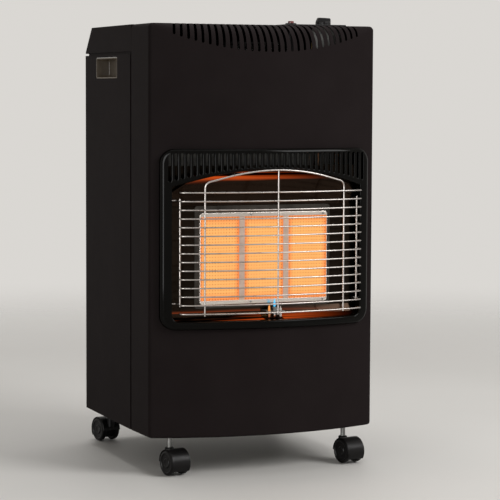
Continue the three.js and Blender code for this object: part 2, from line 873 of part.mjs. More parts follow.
function reflectorTop() {
  const zBurner = bottom + burnerBottom + burnerHeight + 12;
  const zWindow = bottom + fireboxTop - sheet - gap - 2;
  const rise = zWindow - zBurner;
  const bends = [
    [fireboxBack - gap, zBurner],
    [fireboxBack - 7, zBurner + rise * 0.34],
    [fireboxBack - 18, zBurner + rise * 0.74],
    [-frontBow, zWindow],
  ];
  return reflector(bends, 1.2);
}

function reflectorFloor() {
  const z0 = bottom + fireboxBottom + sheet + gap;
  const bends = [
    [-frontBow, z0],
    [fireboxBack - 10, z0 + 3],
    [fireboxBack - 4, z0 + 8],
    [fireboxBack - gap, bottom + burnerBottom - 7],
  ];
  const z = bottom + fireboxBottom;
  const notch = block(thermocoupleX - 8, ignitionX + 8, pilotDepth - 7, 20, z, z + 60);
  return reflector(bends, 0.8).subtract(notch);
}

function burnerFrame() {
  const z0 = bottom + burnerBottom;
  const z1 = z0 + burnerHeight;
  const outer = block(-burnerHalfWidth, burnerHalfWidth, burnerFront, fireboxBack - gap, z0, z1);
  const middle = (z0 + z1) / 2;
  const half = plaqueHeight / 2 - 2;
  const windows = [-1, 0, 1].map((i) => {
    const x = i * plaquePitch;
    const w = plaqueWidth / 2 - 1.5;
    return block(x - w, x + w, burnerFront - 5, 20, middle - half, middle + half);
  });
  const pocket = block(
    -burnerHalfWidth + burnerWall,
    burnerHalfWidth - burnerWall,
    burnerFront + burnerFace,
    20,
    z0 + 2,
    z1 - 2,
  );
  const strips = [-0.5, 0.5].map((i) => {
    const x = i * plaquePitch;
    const w = stripWidth / 2 - 1.4;
    return block(x - w, x + w, burnerFront - 5, 20, middle - half + 4, middle + half - 4);
  });
  return cut(outer, [...windows, ...strips, pocket]);
}

function plaque(i) {
  const x = i * plaquePitch;
  const w = plaqueWidth / 2;
  const middle = bottom + burnerBottom + burnerHeight / 2;
  const h = plaqueHeight / 2;
  const y = plaqueFront;
  return block(x - w, x + w, y, y + plaqueThickness, middle - h, middle + h);
}

// A perforated strip between two plaques.
function flameStrip(i) {
  const x = i * plaquePitch;
  const w = stripWidth / 2;
  const middle = bottom + burnerBottom + burnerHeight / 2;
  const h = plaqueHeight / 2;
  const y = plaqueFront;
  return block(x - w, x + w, y, y + stripThickness, middle - h, middle + h);
}

// The gas-mixing box behind the plaques, with three mixing tubes under it.
function burnerPlenum() {
  const z0 = bottom + burnerBottom + 5;
  const z1 = bottom + burnerBottom + burnerHeight - 5;
  const front = plaqueFront + plaqueThickness + gap;
  const half = burnerHalfWidth - 5;
  const back = burnerDepth - 5;
  const outer = block(-half, half, front, back, z0, z1);
  const inside = half - sheet;
  const hollow = block(-inside, inside, front - 1, back - sheet, z0 + sheet, z1 - sheet);
  const under = (radius, low, high) =>
    [-1, 0, 1].map((i) => post(i * plaquePitch, manifoldDepth, radius, z0 - low, z0 + high, 12));
  const tubes = under(mixingTubeRadius, mixingTubeDrop, 1);
  const mouths = under(mixingTubeRadius - 1.5, mixingTubeDrop + 5, 5);
  return cut(join([outer.subtract(hollow), ...tubes]), mouths);
}

// The gas rail with one injector under each mixing tube and two lugs to the heat shield.
function gasManifold() {
  const z = manifoldHeight;
  const y = manifoldDepth;
  const railGeometry = cylinder(manifoldRadius, -plaquePitch - manifoldTail, manifoldEnd, 12);
  railGeometry.rotateY(Math.PI / 2);
  railGeometry.translate(0, y, z);
  const injectors = [-1, 0, 1].map((i) => post(i * plaquePitch, y, 3.2, z, z + 11, 8));
  const lugs = [-0.5, 0.5].map((i) => {
    const x = i * plaquePitch;
    return block(x - 6, x + 6, y, shieldDepth - gap, z - 1, z + 1);
  });
  return join([solid(railGeometry), ...injectors, ...lugs]);
}

// ---------------------------------------------------------------- gas train

function gasValve() {
  const y = controlDepth;
  const w = valveHalfWidth;
  const d = valveHalfDepth;
  const body = block(knobX - w, knobX + w, y - d, y + d, valveBottom, valveTop - 12);
  const neck = post(knobX, y, stemBore + 4, valveTop - 13, valveTop, 12);
  const bore = post(knobX, y, stemBore, valveTop - 30, valveTop + 1, 12);
  return body.add(neck).subtract(bore);
}

// The pin under the spindle that opens the pilot gas as the knob is pushed.
function valvePushPin() {
  return post(knobX, controlDepth, 2, valveTop - 25, valveTop - 19, 10);
}

function valveSpindle() {
  return post(knobX, controlDepth, stemBore - gap, valveTop - 18.7, top + 6, 12);
}

function valveBracket() {
  const y = controlDepth - valveHalfDepth - gap;
  const x0 = knobX - valveHalfWidth - 10;
  const x1 = knobX + valveHalfWidth + 10;
  const z1 = top - sheet - gap;
  const wall = block(x0, x1, y - sheet, y, valveBottom - 4, z1);
  const flange = block(x0, x1, y - 13, y, z1 - sheet, z1);
  return wall.add(flange);
}

function burnerPipe() {
  const route = [
    [manifoldEnd + gap, manifoldDepth, manifoldHeight],
    [manifoldEnd + 16, manifoldDepth, manifoldHeight],
    [manifoldEnd + 16, manifoldDepth, valveBottom - 34],
    [knobX + 6, controlDepth, valveBottom - 20],
    [knobX + 6, controlDepth, valveBottom - gap],
  ];
  return bentRod(route, 4, 8);
}

function pilotPipe() {
  const low = bottom + fireboxBottom - 8;
  const route = [
    [knobX - 8, controlDepth, valveBottom - gap],
    [knobX - 8, controlDepth, low + 10],
    [knobX - 8, controlDepth, low],
    [pilotX, controlDepth - 2, low],
    [pilotX, 8, low],
    [pilotX, 8, low + 14],
    [pilotX, pilotDepth, low + 14],
    [pilotX, pilotDepth, pilotBase - gap],
  ];
  return bentRod(route, 1.5, 3, 6);
}

function inletPipe() {
  const z = valveBottom + 14;
  const route = [
    [inletX, controlDepth + valveHalfDepth + gap, z],
    [inletX, inletDepth, z],
    [inletX, inletDepth, bottom + shelfHeight + 4],
  ];
  return bentRod(route, 4, 12).add(hoseTail());
}

// The ribbed end that a gas hose is pushed on, brazed to the inlet pipe.
function hoseTail() {
  const z1 = bottom + shelfHeight + 5;
  const profile = [[0, z1 - 40]];
  for (let i = 0; i < 4; i++) {
    profile.push([3.6, z1 - 40 + i * 6], [4.8, z1 - 35 + i * 6]);
  }
  profile.push([4, z1 - 14], [8, z1 - 14], [8, z1], [0, z1]);
  const geometry = turned(profile, 10);
  geometry.translate(inletX, inletDepth, 0);
  return solid(geometry);
}

// A wire from a probe down through the firebox, up behind the burner and on to the controls.
function probeLead(x, start, drop, up, radius, end) {
  const low = bottom + fireboxBottom + 4.4;
  const run = manifoldHeight - drop;
  const route = [
    [x, pilotDepth, start],
    [x, pilotDepth, low],
    [x, 12, low],
    [x, 12, run],
    [...up, run],
    [...up, end[2] - 30],
    [end[0], end[1], end[2] - 20],
    end,
  ];
  return bentRod(route, radius, 3, 6, 2);
}

function ignitionLead() {
  const end = [igniterX, controlDepth, piezoBottom - gap];
  return probeLead(ignitionX, pilotBase - 3, 26, [knobX - 17.5, 54], 1.5, end);
}

// ---------------------------------------------------------------- pilot

function pilotBracket() {
  const z = pilotBase + 6;
  const plate = block(thermocoupleX - 6, ignitionX + 6, pilotDepth - 5, fireboxBack - gap, z, z + sheet);
  const holes = [thermocoupleX, pilotX, ignitionX].map((x) =>
    post(x, pilotDepth, (x === pilotX ? 3 : probeRadius) + gap, z - 3, z + 5, 12),
  );
  return cut(plate, holes);
}

function pilotBurner() {
  const tube = post(pilotX, pilotDepth, 3, pilotBase, pilotBase + 12, 12);
  const hood = block(pilotX - 4, pilotX + 4, pilotDepth - 3, pilotDepth + 5, pilotBase + 8, pilotBase + 13);
  const mouth = block(pilotX - 3, pilotX + 3, pilotDepth - 1, pilotDepth + 6, pilotBase + 9.5, pilotBase + 12);
  return tube.add(hood).subtract(mouth);
}

// The probe and the fine copper tube that joins it to the valve are one piece.
function thermocouple() {
  const r = probeRadius;
  const profile = [[0, 0], [r, 0], [r, 10], [r - 0.8, 12], [r - 0.8, 17], [0, 18.5]];
  const end = [knobX - 1, controlDepth, valveBottom - gap];
  const lead = probeLead(thermocoupleX, pilotBase - 1, 16, [knobX - 13.5, 50], 1, end);
  return probe(thermocoupleX, profile).add(lead);
}

function sparkElectrode() {
  const r = probeRadius;
  const profile = [[0, 0], [r, 0], [r, 13], [r - 1.3, 14.5], [r - 1.3, 17], [0, 17]];
  return probe(ignitionX, profile);
}

function probe(x, profile) {
  const geometry = turned(profile, 10);
  geometry.translate(x, pilotDepth, pilotBase - 3 + gap);
  return solid(geometry);
}

// ---------------------------------------------------------------- controls

function controlPlate() {
  const z0 = top + gap;
  const y0 = controlDepth - plateDepth / 2;
  const y1 = controlDepth + plateDepth / 2;
  const plate = block(plateLeft, plateRight, y0, y1, z0, z0 + plateThickness);
  const well = post(knobX, controlDepth, knobRadius + 1.4, z0 - 5, z0 + 10, 28);
  const hole = post(igniterX, controlDepth, 8, z0 - 5, z0 + 10, 20);
  return cut(plate, [well, hole]);
}

function controlKnob() {
  const z0 = top - knobSink;
  const z1 = top + knobRise;
  const body = post(knobX, controlDepth, knobRadius, z0, z1 - 6, 28);
  const outline = [
    [knobX - knobRadius + 0.6, z1 - 7],
    [knobX - knobRadius + 3.4, z1 - 0.4],
    [knobX - knobRadius + 5, z1],
    [knobX + knobRadius - 0.8, z1 - 1],
    [knobX + knobRadius - 0.4, z1 - 7],
  ].reverse();
  const handle = frontPrism(outline, controlDepth - 4.5, controlDepth + 4.5);
  const bore = post(knobX, controlDepth, stemBore, z0 - 1, top + 6 + gap, 12);
  return body.add(handle).subtract(bore);
}

// The sealed igniter, with the button's guide at its top.
function piezoIgniter() {
  const geometry = turned(
    [
      [0, piezoBottom],
      [7.4, piezoBottom],
      [7.4, top + gap + plateThickness + gap],
      [9.5, top + gap + plateThickness + gap],
      [9, top + 5.2],
      [buttonRadius + gap, top + 5.2],
      [buttonRadius + gap, top - 12],
      [0, top - 12],
    ],
    20,
  );
  geometry.translate(igniterX, controlDepth, 0);
  return solid(geometry);
}

function igniterButton() {
  const z1 = top + buttonRise;
  const profile = [[0, top - 5], [buttonRadius, top - 5], [buttonRadius, z1 - 1], [buttonRadius - 1, z1]];
  profile.push([0, z1]);
  const geometry = turned(profile, 20);
  geometry.translate(igniterX, controlDepth, 0);
  return solid(geometry);
}

// ---------------------------------------------------------------- castors

// The front castors trail forwards and the rear ones backwards, each turned a little.
function castorPlaces() {
  return [
    { name: "front_left", x: -castorX, y: castorFront, turn: 12 },
    { name: "front_right", x: castorX, y: castorFront, turn: 12 },
    { name: "rear_left", x: -castorX, y: castorRear, turn: 192 },
    { name: "rear_right", x: castorX, y: castorRear, turn: 172 },
  ];
}

function castorStem() {
  const tray = bottom + sheet + gap;
  const head = hoodRadius + wheelRadius;
  const profile = [
    [0, head - 16],
    [stemRadius, head - 16],
    [stemRadius, tray - stemCollar],
    [stemRadius + 1.6, tray - stemCollar],
    [stemRadius + 1.6, tray - gap],
    [stemRadius, tray - gap],
    [stemRadius, tray + 14],
    [0, tray + 15],
  ];
  return turned(profile, 10);
}

// Two fenders over the wheels, a web between them and a boss round the stem.
function castorHood() {
  const outer = wheelInner + wheelWidth - 0.4;
  const across = (radius, x0, x1, sides) => {
    const geometry = cylinder(radius, x0, x1, sides);
    geometry.rotateY(Math.PI / 2);
    geometry.translate(0, -trail, wheelRadius);
    return solid(geometry);
  };
  const shroud = across(hoodRadius, -outer, outer, 20);
  const wells = [-1, 1].map((side) => {
    const near = side * (wheelInner - gap);
    const far = side * (outer + 5);
    return across(wheelRadius + 1, Math.min(near, far), Math.max(near, far), 20);
  });
  const open = block(-40, 40, -trail - 40, -trail + 40, -5, hoodClearance);
  const behind = block(-40, 40, -trail + 4, -trail + 40, -5, wheelRadius);
  const web = across(wheelRadius - 5, -wheelInner + 0.6, wheelInner - 0.6, 16);
  const boss = post(0, 0, stemRadius + 3.6, wheelRadius + 6, wheelRadius + hoodRadius, 12);
  const body = cut(shroud, wells).subtract(open).subtract(behind).add(web).add(boss);
  const wellBore = post(0, 0, stemRadius + gap, wheelRadius + hoodRadius - 17, 70, 10);
  const axleBore = across(axleRadius + gap, -50, 50, 12);
  return cut(body, [wellBore, axleBore]);
}

function castorAxle() {
  const half = wheelInner + wheelWidth - 2.5;
  const geometry = cylinder(axleRadius, -half, half, 12);
  geometry.rotateY(Math.PI / 2);
  return geometry;
}

// A wheel whose tread has one facet flat on the floor, open to the axle, dished outside.
function castorWheel(side) {
  const sides = 20;
  const tread = wheelRadius / Math.cos(Math.PI / sides);
  const near = wheelInner;
  const far = wheelInner + wheelWidth;
  const bore = axleRadius + gap;
  const profile = [
    [bore, near],
    [tread - 1.5, near],
    [tread, near + 1.5],
    [tread, far - 2],
    [tread - 2, far],
    [bore, far - 1.5],
    [bore, near],
  ].map(([radius, x]) => new THREE.Vector2(radius, x));
  const geometry = new THREE.LatheGeometry(profile, sides, Math.PI / sides);
  geometry.rotateZ(-Math.PI / 2);
  if (side < 0) geometry.rotateZ(Math.PI);
  return geometry;
}

// ---------------------------------------------------------------- the scene graph

const bodySteel = { color: 0x1f1a1a, roughness: 0.55, metalness: 0.3 };
const glossEnamel = { color: 0x090807, roughness: 0.12, metalness: 0.1 };
const chrome = { color: 0xd8d8da, roughness: 0.15, metalness: 1 };
const zincSteel = { color: 0x9a9a98, roughness: 0.4, metalness: 0.9 };
const polished = { color: 0xb8b4ae, roughness: 0.12, metalness: 1 };
const ceramic = { color: 0xffb36b, roughness: 0.9, metalness: 0 };
const brass = { color: 0xb08d45, roughness: 0.35, metalness: 1 };
const copper = { color: 0xb06a45, roughness: 0.35, metalness: 1 };
const blackPlastic = { color: 0x121112, roughness: 0.45, metalness: 0 };
const redPlastic = { color: 0x8c1c12, roughness: 0.4, metalness: 0 };
const gripPlastic = { color: 0x3c3428, roughness: 0.6, metalness: 0 };
const porcelain = { color: 0xe8e4da, roughness: 0.3, metalness: 0 };
const leadRubber = { color: 0x2a1512, roughness: 0.6, metalness: 0 };

function part(parent, name, shape, look) {
  const geometry = shape.isBufferGeometry ? shape : geometryOf(shape);
  const mesh = new THREE.Mesh(geometry, new THREE.MeshStandardMaterial(look));
  mesh.name = name;
  parent.add(mesh);
  return mesh;
}

function cabinet(parent) {
  part(parent, "front_shell", frontShell(), bodySteel);
  part(parent, "side_panel_left", sidePanel(-1), bodySteel);
  part(parent, "side_panel_right", sidePanel(1), bodySteel);
  part(parent, "top_cover", topCover(), bodySteel);
  part(parent, "rear_cover", rearCover(), bodySteel);
  part(parent, "base_tray", baseTray(), zincSteel);
  part(parent, "rear_rail", rearRail(), zincSteel);
  part(parent, "heat_shield", heatShield(), zincSteel);
  part(parent, "upper_screen", upperScreen(), zincSteel);
  part(parent, "hand_grip_left", handGrip(-1), gripPlastic);
  part(parent, "hand_grip_right", handGrip(1), gripPlastic);
}

function burner(parent) {
  part(parent, "window_bezel", windowBezel(), glossEnamel);
  part(parent, "wire_guard", wireGuard(), chrome);
  part(parent, "firebox", firebox(), glossEnamel);
  part(parent, "reflector_top", reflectorTop(), polished);
  part(parent, "reflector_floor", reflectorFloor(), polished);
  part(parent, "burner_frame", burnerFrame(), polished);
  part(parent, "ceramic_plaque_left", plaque(-1), ceramic);
  part(parent, "ceramic_plaque_centre", plaque(0), ceramic);
  part(parent, "ceramic_plaque_right", plaque(1), ceramic);
  part(parent, "flame_strip_left", flameStrip(-0.5), zincSteel);
  part(parent, "flame_strip_right", flameStrip(0.5), zincSteel);
  part(parent, "burner_plenum", burnerPlenum(), zincSteel);
}

function gasTrain(parent) {
  part(parent, "gas_manifold", gasManifold(), brass);
  part(parent, "gas_valve", gasValve(), brass);
  part(parent, "valve_bracket", valveBracket(), zincSteel);
  part(parent, "valve_push_pin", valvePushPin(), zincSteel);
  part(parent, "valve_spindle", valveSpindle(), zincSteel);
  part(parent, "burner_pipe", burnerPipe(), copper);
  part(parent, "pilot_pipe", pilotPipe(), copper);
  part(parent, "inlet_pipe", inletPipe(), copper);
  part(parent, "ignition_lead", ignitionLead(), leadRubber);
  part(parent, "pilot_bracket", pilotBracket(), zincSteel);
  part(parent, "pilot_burner", pilotBurner(), zincSteel);
  part(parent, "thermocouple", thermocouple(), copper);
  part(parent, "spark_electrode", sparkElectrode(), porcelain);
}

function controls(parent) {
  part(parent, "control_plate", controlPlate(), blackPlastic);
  part(parent, "control_knob", controlKnob(), blackPlastic);
  part(parent, "piezo_igniter", piezoIgniter(), blackPlastic);
  part(parent, "igniter_button", igniterButton(), redPlastic);
}

function castors(parent) {
  for (const { name, x, y, turn } of castorPlaces()) {
    const castor = new THREE.Group();
    castor.position.set(x, y, 0);
    castor.rotation.z = THREE.MathUtils.degToRad(turn);
    part(castor, name + "_castor_stem", castorStem(), chrome);
    part(castor, name + "_castor_hood", castorHood(), blackPlastic);
    const axle = part(castor, name + "_castor_axle", castorAxle(), zincSteel);
    const left = part(castor, name + "_wheel_a", castorWheel(-1), blackPlastic);
    const right = part(castor, name + "_wheel_b", castorWheel(1), blackPlastic);
    for (const mesh of [axle, left, right]) {
      mesh.position.set(0, -trail, wheelRadius);
    }
    parent.add(castor);
  }
}

const heater = new THREE.Group();
cabinet(heater);
burner(heater);
gasTrain(heater);
controls(heater);
castors(heater);

// The row's origin is on the floor, under the middle of the whole depth.
const foremost = -(frontBow + guardProud + wireRadius);
const rearmost = sideDepth + rearBulge;
heater.position.y = -(foremost + rearmost) / 2;

export default heater;
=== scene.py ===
"""A portable gas cabinet heater: its finished surfaces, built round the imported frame.

Lengths are written in millimetres, in the cabinet's own frame, where the depth is zero on the line
between the cabinet's front corners. mm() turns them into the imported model's frame, in metres.
"""

import json
import math
from functools import partial

import bmesh
import bpy
import numpy as np
from mathutils import Matrix, Vector, geometry


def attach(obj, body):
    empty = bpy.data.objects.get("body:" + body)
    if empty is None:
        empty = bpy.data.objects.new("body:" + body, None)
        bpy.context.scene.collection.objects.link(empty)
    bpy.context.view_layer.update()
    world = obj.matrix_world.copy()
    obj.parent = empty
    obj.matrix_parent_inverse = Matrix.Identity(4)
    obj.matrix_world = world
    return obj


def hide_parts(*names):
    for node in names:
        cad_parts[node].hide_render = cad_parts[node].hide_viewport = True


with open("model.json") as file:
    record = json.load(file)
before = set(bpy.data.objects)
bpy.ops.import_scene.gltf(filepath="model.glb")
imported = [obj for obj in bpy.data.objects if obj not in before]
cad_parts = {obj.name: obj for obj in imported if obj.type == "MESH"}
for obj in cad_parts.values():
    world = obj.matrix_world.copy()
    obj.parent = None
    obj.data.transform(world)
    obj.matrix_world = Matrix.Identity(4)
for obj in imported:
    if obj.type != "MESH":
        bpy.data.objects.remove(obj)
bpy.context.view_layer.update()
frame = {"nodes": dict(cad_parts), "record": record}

# ---------------------------------------------------------------- sizes, in millimetres

SCALE = 0.001
BOTTOM = 63.0
TOP = 740.0
HALF_WIDTH = 200.0
SIDE_DEPTH = 347.0
FRONT_BOW = 38.0
REAR_BULGE = 45.0
GUARD_PROUD = 29.0
WIRE_RADIUS = 1.4
SHEET = 1.2
GAP = 0.3
ROW_SHIFT = (SIDE_DEPTH + REAR_BULGE - FRONT_BOW - GUARD_PROUD - WIRE_RADIUS) / 2

BOW_RADIUS = (HALF_WIDTH**2 + FRONT_BOW**2) / (2 * FRONT_BOW)
BOW_CENTRE = BOW_RADIUS - FRONT_BOW


def mm(points):
    """The cabinet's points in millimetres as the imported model's in metres."""
    moved = np.array(points, float).reshape(-1, 3) - (0.0, ROW_SHIFT, 0.0)
    return moved * SCALE


# ---------------------------------------------------------------- mesh helpers


def mesh_piece(name, points, faces):
    """A smooth mesh object from the cabinet's points in millimetres."""
    mesh = bpy.data.meshes.new(name)
    mesh.from_pydata([tuple(p) for p in mm(points)], [], faces)
    mesh.validate()
    piece = bpy.data.objects.new(name, mesh)
    bpy.context.scene.collection.objects.link(piece)
    mesh.shade_smooth()
    return piece


def weld(piece, distance=2e-6):
    """Joins points closer than a distance in metres."""
    work = bmesh.new()
    work.from_mesh(piece.data)
    bmesh.ops.remove_doubles(work, verts=work.verts, dist=distance)
    bmesh.ops.recalc_face_normals(work, faces=work.faces)
    work.to_mesh(piece.data)
    work.free()


def bake_modifiers(piece):
    """Applies the piece's modifiers to its mesh."""
    bpy.context.view_layer.update()
    evaluated = piece.evaluated_get(bpy.context.evaluated_depsgraph_get())
    baked = bpy.data.meshes.new_from_object(evaluated)
    piece.modifiers.clear()
    piece.data = baked


def thicken(piece, thickness):
    """Gives a sheet its thickness, behind the side that it faces."""
    solidify = piece.modifiers.new("sheet", "SOLIDIFY")
    solidify.thickness = thickness * SCALE
    solidify.offset = -1.0
    solidify.use_even_offset = True
    bake_modifiers(piece)


def add_bevel(piece, radius, segments, angle):
    bevel = piece.modifiers.new("edges", "BEVEL")
    bevel.width = radius * SCALE
    bevel.segments = segments
    bevel.limit_method = "ANGLE"
    bevel.angle_limit = math.radians(angle)


def round_edges(piece, radius, segments=2, angle=35.0):
    add_bevel(piece, radius, segments, angle)
    bake_modifiers(piece)


def weight_normals(piece):
    """Keeps flat faces flat beside their small rounded edges."""
    weighted = piece.modifiers.new("normals", "WEIGHTED_NORMAL")
    weighted.mode = "FACE_AREA"
    weighted.weight = 90
    weighted.keep_sharp = True


def crisp(piece, angle):
    """Smooth shading, apart from edges sharper than an angle."""
    piece.data.shade_smooth()
    piece.data.set_sharp_from_angle(angle=math.radians(angle))
    return piece


def face_front(piece):
    """Turns a sheet's faces to the front."""
    if sum(p.normal.y * p.area for p in piece.data.polygons) > 0:
        piece.data.flip_normals()


def pressed(piece, thickness, edge, segments=2, angle=45):
    """A front sheet with its thickness and its rounded edges."""
    face_front(piece)
    thicken(piece, thickness)
    round_edges(piece, edge, segments, 50)
    return crisp(piece, angle)


def finished(piece, body, slot, *nodes, material=None):
    """The piece rides on its body, has its slot's material or another, and stands for the nodes."""
    weight_normals(piece)
    piece.data.materials.clear()
    piece.data.materials.append(material or SLOT_MATERIALS[slot])
    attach(piece, body)
    if nodes:
        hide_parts(*nodes)


def grid_faces(rows, columns, closed=False, keep=None):
    """Quads of a grid of points stored row by row."""
    faces = []
    for i in range(rows - 1):
        for j in range(columns if closed else columns - 1):
            if keep is not None and not keep(i, j):
                continue
            k = (j + 1) % columns
            faces.append((i * columns + j, i * columns + k, (i + 1) * columns + k, (i + 1) * columns + j))
    return faces


def ring_faces(first, second, count):
    """Quads between two closed loops of points."""
    after = [(k + 1) % count for k in range(count)]
    return [(first + k, first + n, second + n, second + k) for k, n in enumerate(after)]


def add_loops(points, faces, loops):
    """Adds closed loops of points, each joined to the next by quads."""
    starts = []
    for loop in loops:
        starts.append(len(points))
        points += loop
    for a, b in zip(starts, starts[1:]):
        faces += ring_faces(a, b, len(loops[0]))


def joined_piece(name, parts, angle=35):
    """One object from several parts, each its points and faces."""
    points = []
    faces = []
    for more, quads in parts:
        first = len(points)
        points += [tuple(p) for p in more]
        faces += [tuple(first + v for v in face) for face in quads]
    piece = mesh_piece(name, points, faces)
    weld(piece, 1e-7)
    return crisp(piece, angle)


def lathe(profile, axis_point, axis, sides):
    """Points and faces of a profile of (radius, along) turned round an axis."""
    points = []
    for radius, along in profile:
        for k in range(sides):
            a = 2 * math.pi * k / sides
            u, v = radius * math.cos(a), radius * math.sin(a)
            place = {"X": (along, u, v), "Y": (u, along, v), "Z": (u, v, along)}[axis]
            points.append(tuple(p + q for p, q in zip(axis_point, place)))
    faces = grid_faces(len(profile), sides, closed=True)
    faces.append(tuple(range(sides)))
    faces.append(tuple(reversed(range(len(points) - sides, len(points)))))
    return points, faces


# ---------------------------------------------------------------- outlines


def line_points(start, end, count):
    """Points from start up to but not including end."""
    return [
        (start[0] + (end[0] - start[0]) * k / count, start[1] + (end[1] - start[1]) * k / count)
        for k in range(count)
    ]


def corner_points(x, z, radius, start, steps=8):
    """A quarter circle, without its last point."""
    turned = [start + math.pi / 2 * k / steps for k in range(steps)]
    return [(x + radius * math.cos(a), z + radius * math.sin(a)) for a in turned]


def rounded_box(x0, x1, z0, z1, radius):
    quarter = math.pi / 2
    points = corner_points(x1 - radius, z0 + radius, radius, -quarter, 6) + [(x1, z0 + radius)]
    points += corner_points(x1 - radius, z1 - radius, radius, 0, 6) + [(x1 - radius, z1)]
    points += corner_points(x0 + radius, z1 - radius, radius, quarter, 6) + [(x0, z1 - radius)]
    points += corner_points(x0 + radius, z0 + radius, radius, 2 * quarter, 6) + [(x0 + radius, z0)]
    return points


def inside_outline(point, outline):
    x, z = point
    crossed = False
    for k in range(len(outline)):
        (x0, z0), (x1, z1) = outline[k - 1], outline[k]
        if (z0 > z) != (z1 > z) and x < x0 + (z - z0) / (z1 - z0) * (x1 - x0):
            crossed = not crossed
    return crossed


def chained(outlines):
    """The points of closed outlines, and the edges along them."""
    points = []
    edges = []
    for outline in outlines:
        first = len(points)
        count = len(outline)
        points += outline
        edges += [(first + k, first + (k + 1) % count) for k in range(count)]
    return points, edges


def triangles(points, edges):
    """Triangles that join points in a plane and hold the edges."""
    result = geometry.delaunay_2d_cdt([Vector(p) for p in points], edges, [], 0, 1e-5)
    return [tuple(v) for v in result[0]], [tuple(face) for face in result[2]]


def filled_sheet(outer, holes, spacing):
    """Triangles that fill an outline round its holes, over a grid of points."""
    points, edges = chained([outer, *holes])
    xs = [p[0] for p in outer]
    zs = [p[1] for p in outer]

    def filled(point):
        return inside_outline(point, outer) and not any(inside_outline(point, hole) for hole in holes)

    for x in np.arange(min(xs) + spacing / 2, max(xs), spacing):
        for z in np.arange(min(zs) + spacing / 2, max(zs), spacing):
            if not filled((x, z)):
                continue
            near = min((x - p[0]) ** 2 + (z - p[1]) ** 2 for p in points)
            if near > (spacing * 0.45) ** 2:
                points.append((x, z))
    corners, faces = triangles(points, edges)
    return corners, [face for face in faces if filled(np.mean([corners[v] for v in face], axis=0))]


def rolled(radius, steps):
    """A quarter-round rim, as pairs of inset and drop."""
    turns = np.linspace(0, math.pi / 2, steps)
    return [(radius * (1 - math.sin(a)), radius * (1 - math.cos(a))) for a in turns]


# ---------------------------------------------------------------- the bowed front


def on_bow(angle, out):
    """A point at an angle along the bow, a distance in front of it."""
    radius = BOW_RADIUS + out
    return radius * math.sin(angle), BOW_CENTRE - radius * math.cos(angle)


def bow_depth(x, out=0.0):
    return BOW_CENTRE - math.sqrt((BOW_RADIUS + out) ** 2 - x**2)


def on_face(x, z, out):
    return (x, bow_depth(x, out), z)


# ---------------------------------------------------------------- materials


class Graph:
    """The nodes of a material or a world. An input takes a number or another node's output."""

    def __init__(self, owner):
        owner.use_nodes = True
        self.owner = owner
        self.nodes = owner.node_tree.nodes
        self.links = owner.node_tree.links

    def feed(self, node, inputs):
        for name, value in inputs.items():
            if isinstance(value, bpy.types.NodeSocket):
                self.links.new(value, node.inputs[name])
            else:
                node.inputs[name].default_value = value

    def add(self, kind, inputs, **settings):
        node = self.nodes.new("ShaderNode" + kind)
        for name, value in settings.items():
            setattr(node, name, value)
        self.feed(node, inputs)
        return node

    def shade(self, inputs):
        self.feed(self.nodes["Principled BSDF"], inputs)

    def math(self, operation, *values):
        return self.add("Math", dict(enumerate(values)), operation=operation).outputs[0]

    def ranged(self, value, start, end, low=0.0, high=1.0, kind="LINEAR"):
        inputs = {"Value": value, "From Min": start, "From Max": end, "To Min": low, "To Max": high}
        return self.add("MapRange", inputs, interpolation_type=kind).outputs["Result"]

    def spread(self, value, low, high):
        """A 0 to 1 texture value, spread between low and high."""
        return self.ranged(value, 0.3, 0.7, low, high)

    def ramp(self, value, low, high, ends=(0.3, 0.7)):
        node = self.add("ValToRGB", {"Fac": value})
        for element, position, colour in zip(node.color_ramp.elements, ends, (low, high)):
            element.position = position
            element.color = (*colour, 1)
        return node.outputs["Color"]

    def space(self, stretch=(1, 1, 1)):
        """Object coordinates in metres, stretched along an axis."""
        place = self.add("TexCoord", {}).outputs["Object"]
        return self.add("Mapping", {"Vector": place, "Scale": stretch}).outputs["Vector"]

    def noise(self, space, scale, detail=3.0):
        inputs = {"Vector": space, "Scale": scale, "Detail": detail}
        return self.add("TexNoise", inputs).outputs["Fac"]

    def split(self, space):
        return self.add("SeparateXYZ", {0: space}).outputs

    def bump(self, height, strength, distance):
        inputs = {"Height": height, "Strength": strength, "Distance": distance}
        self.shade({"Normal": self.add("Bump", inputs).outputs["Normal"]})


def finish(
    name,
    low,
    high,
    roughness,
    metallic=0.0,
    cloud=14.0,
    grain=900.0,
    relief=0.00004,
    strength=0.35,
    stretch=(1, 1, 1),
    coat=0.0,
    specular=0.5,
):
    """Two tints that cloud into each other, roughness that varies with them, and a fine relief."""
    graph = Graph(bpy.data.materials.new(name))
    space = graph.space(stretch)
    graph.shade({
        "Base Color": graph.ramp(graph.noise(space, cloud, 4.0), low, high),
        "Roughness": graph.spread(graph.noise(space, cloud * 4), *roughness),
        "Metallic": metallic,
        "Specular IOR Level": specular,
        "Coat Weight": coat,
        "Coat Roughness": 0.08,
    })
    graph.bump(graph.noise(space, grain, 2.0), strength, relief)
    return graph


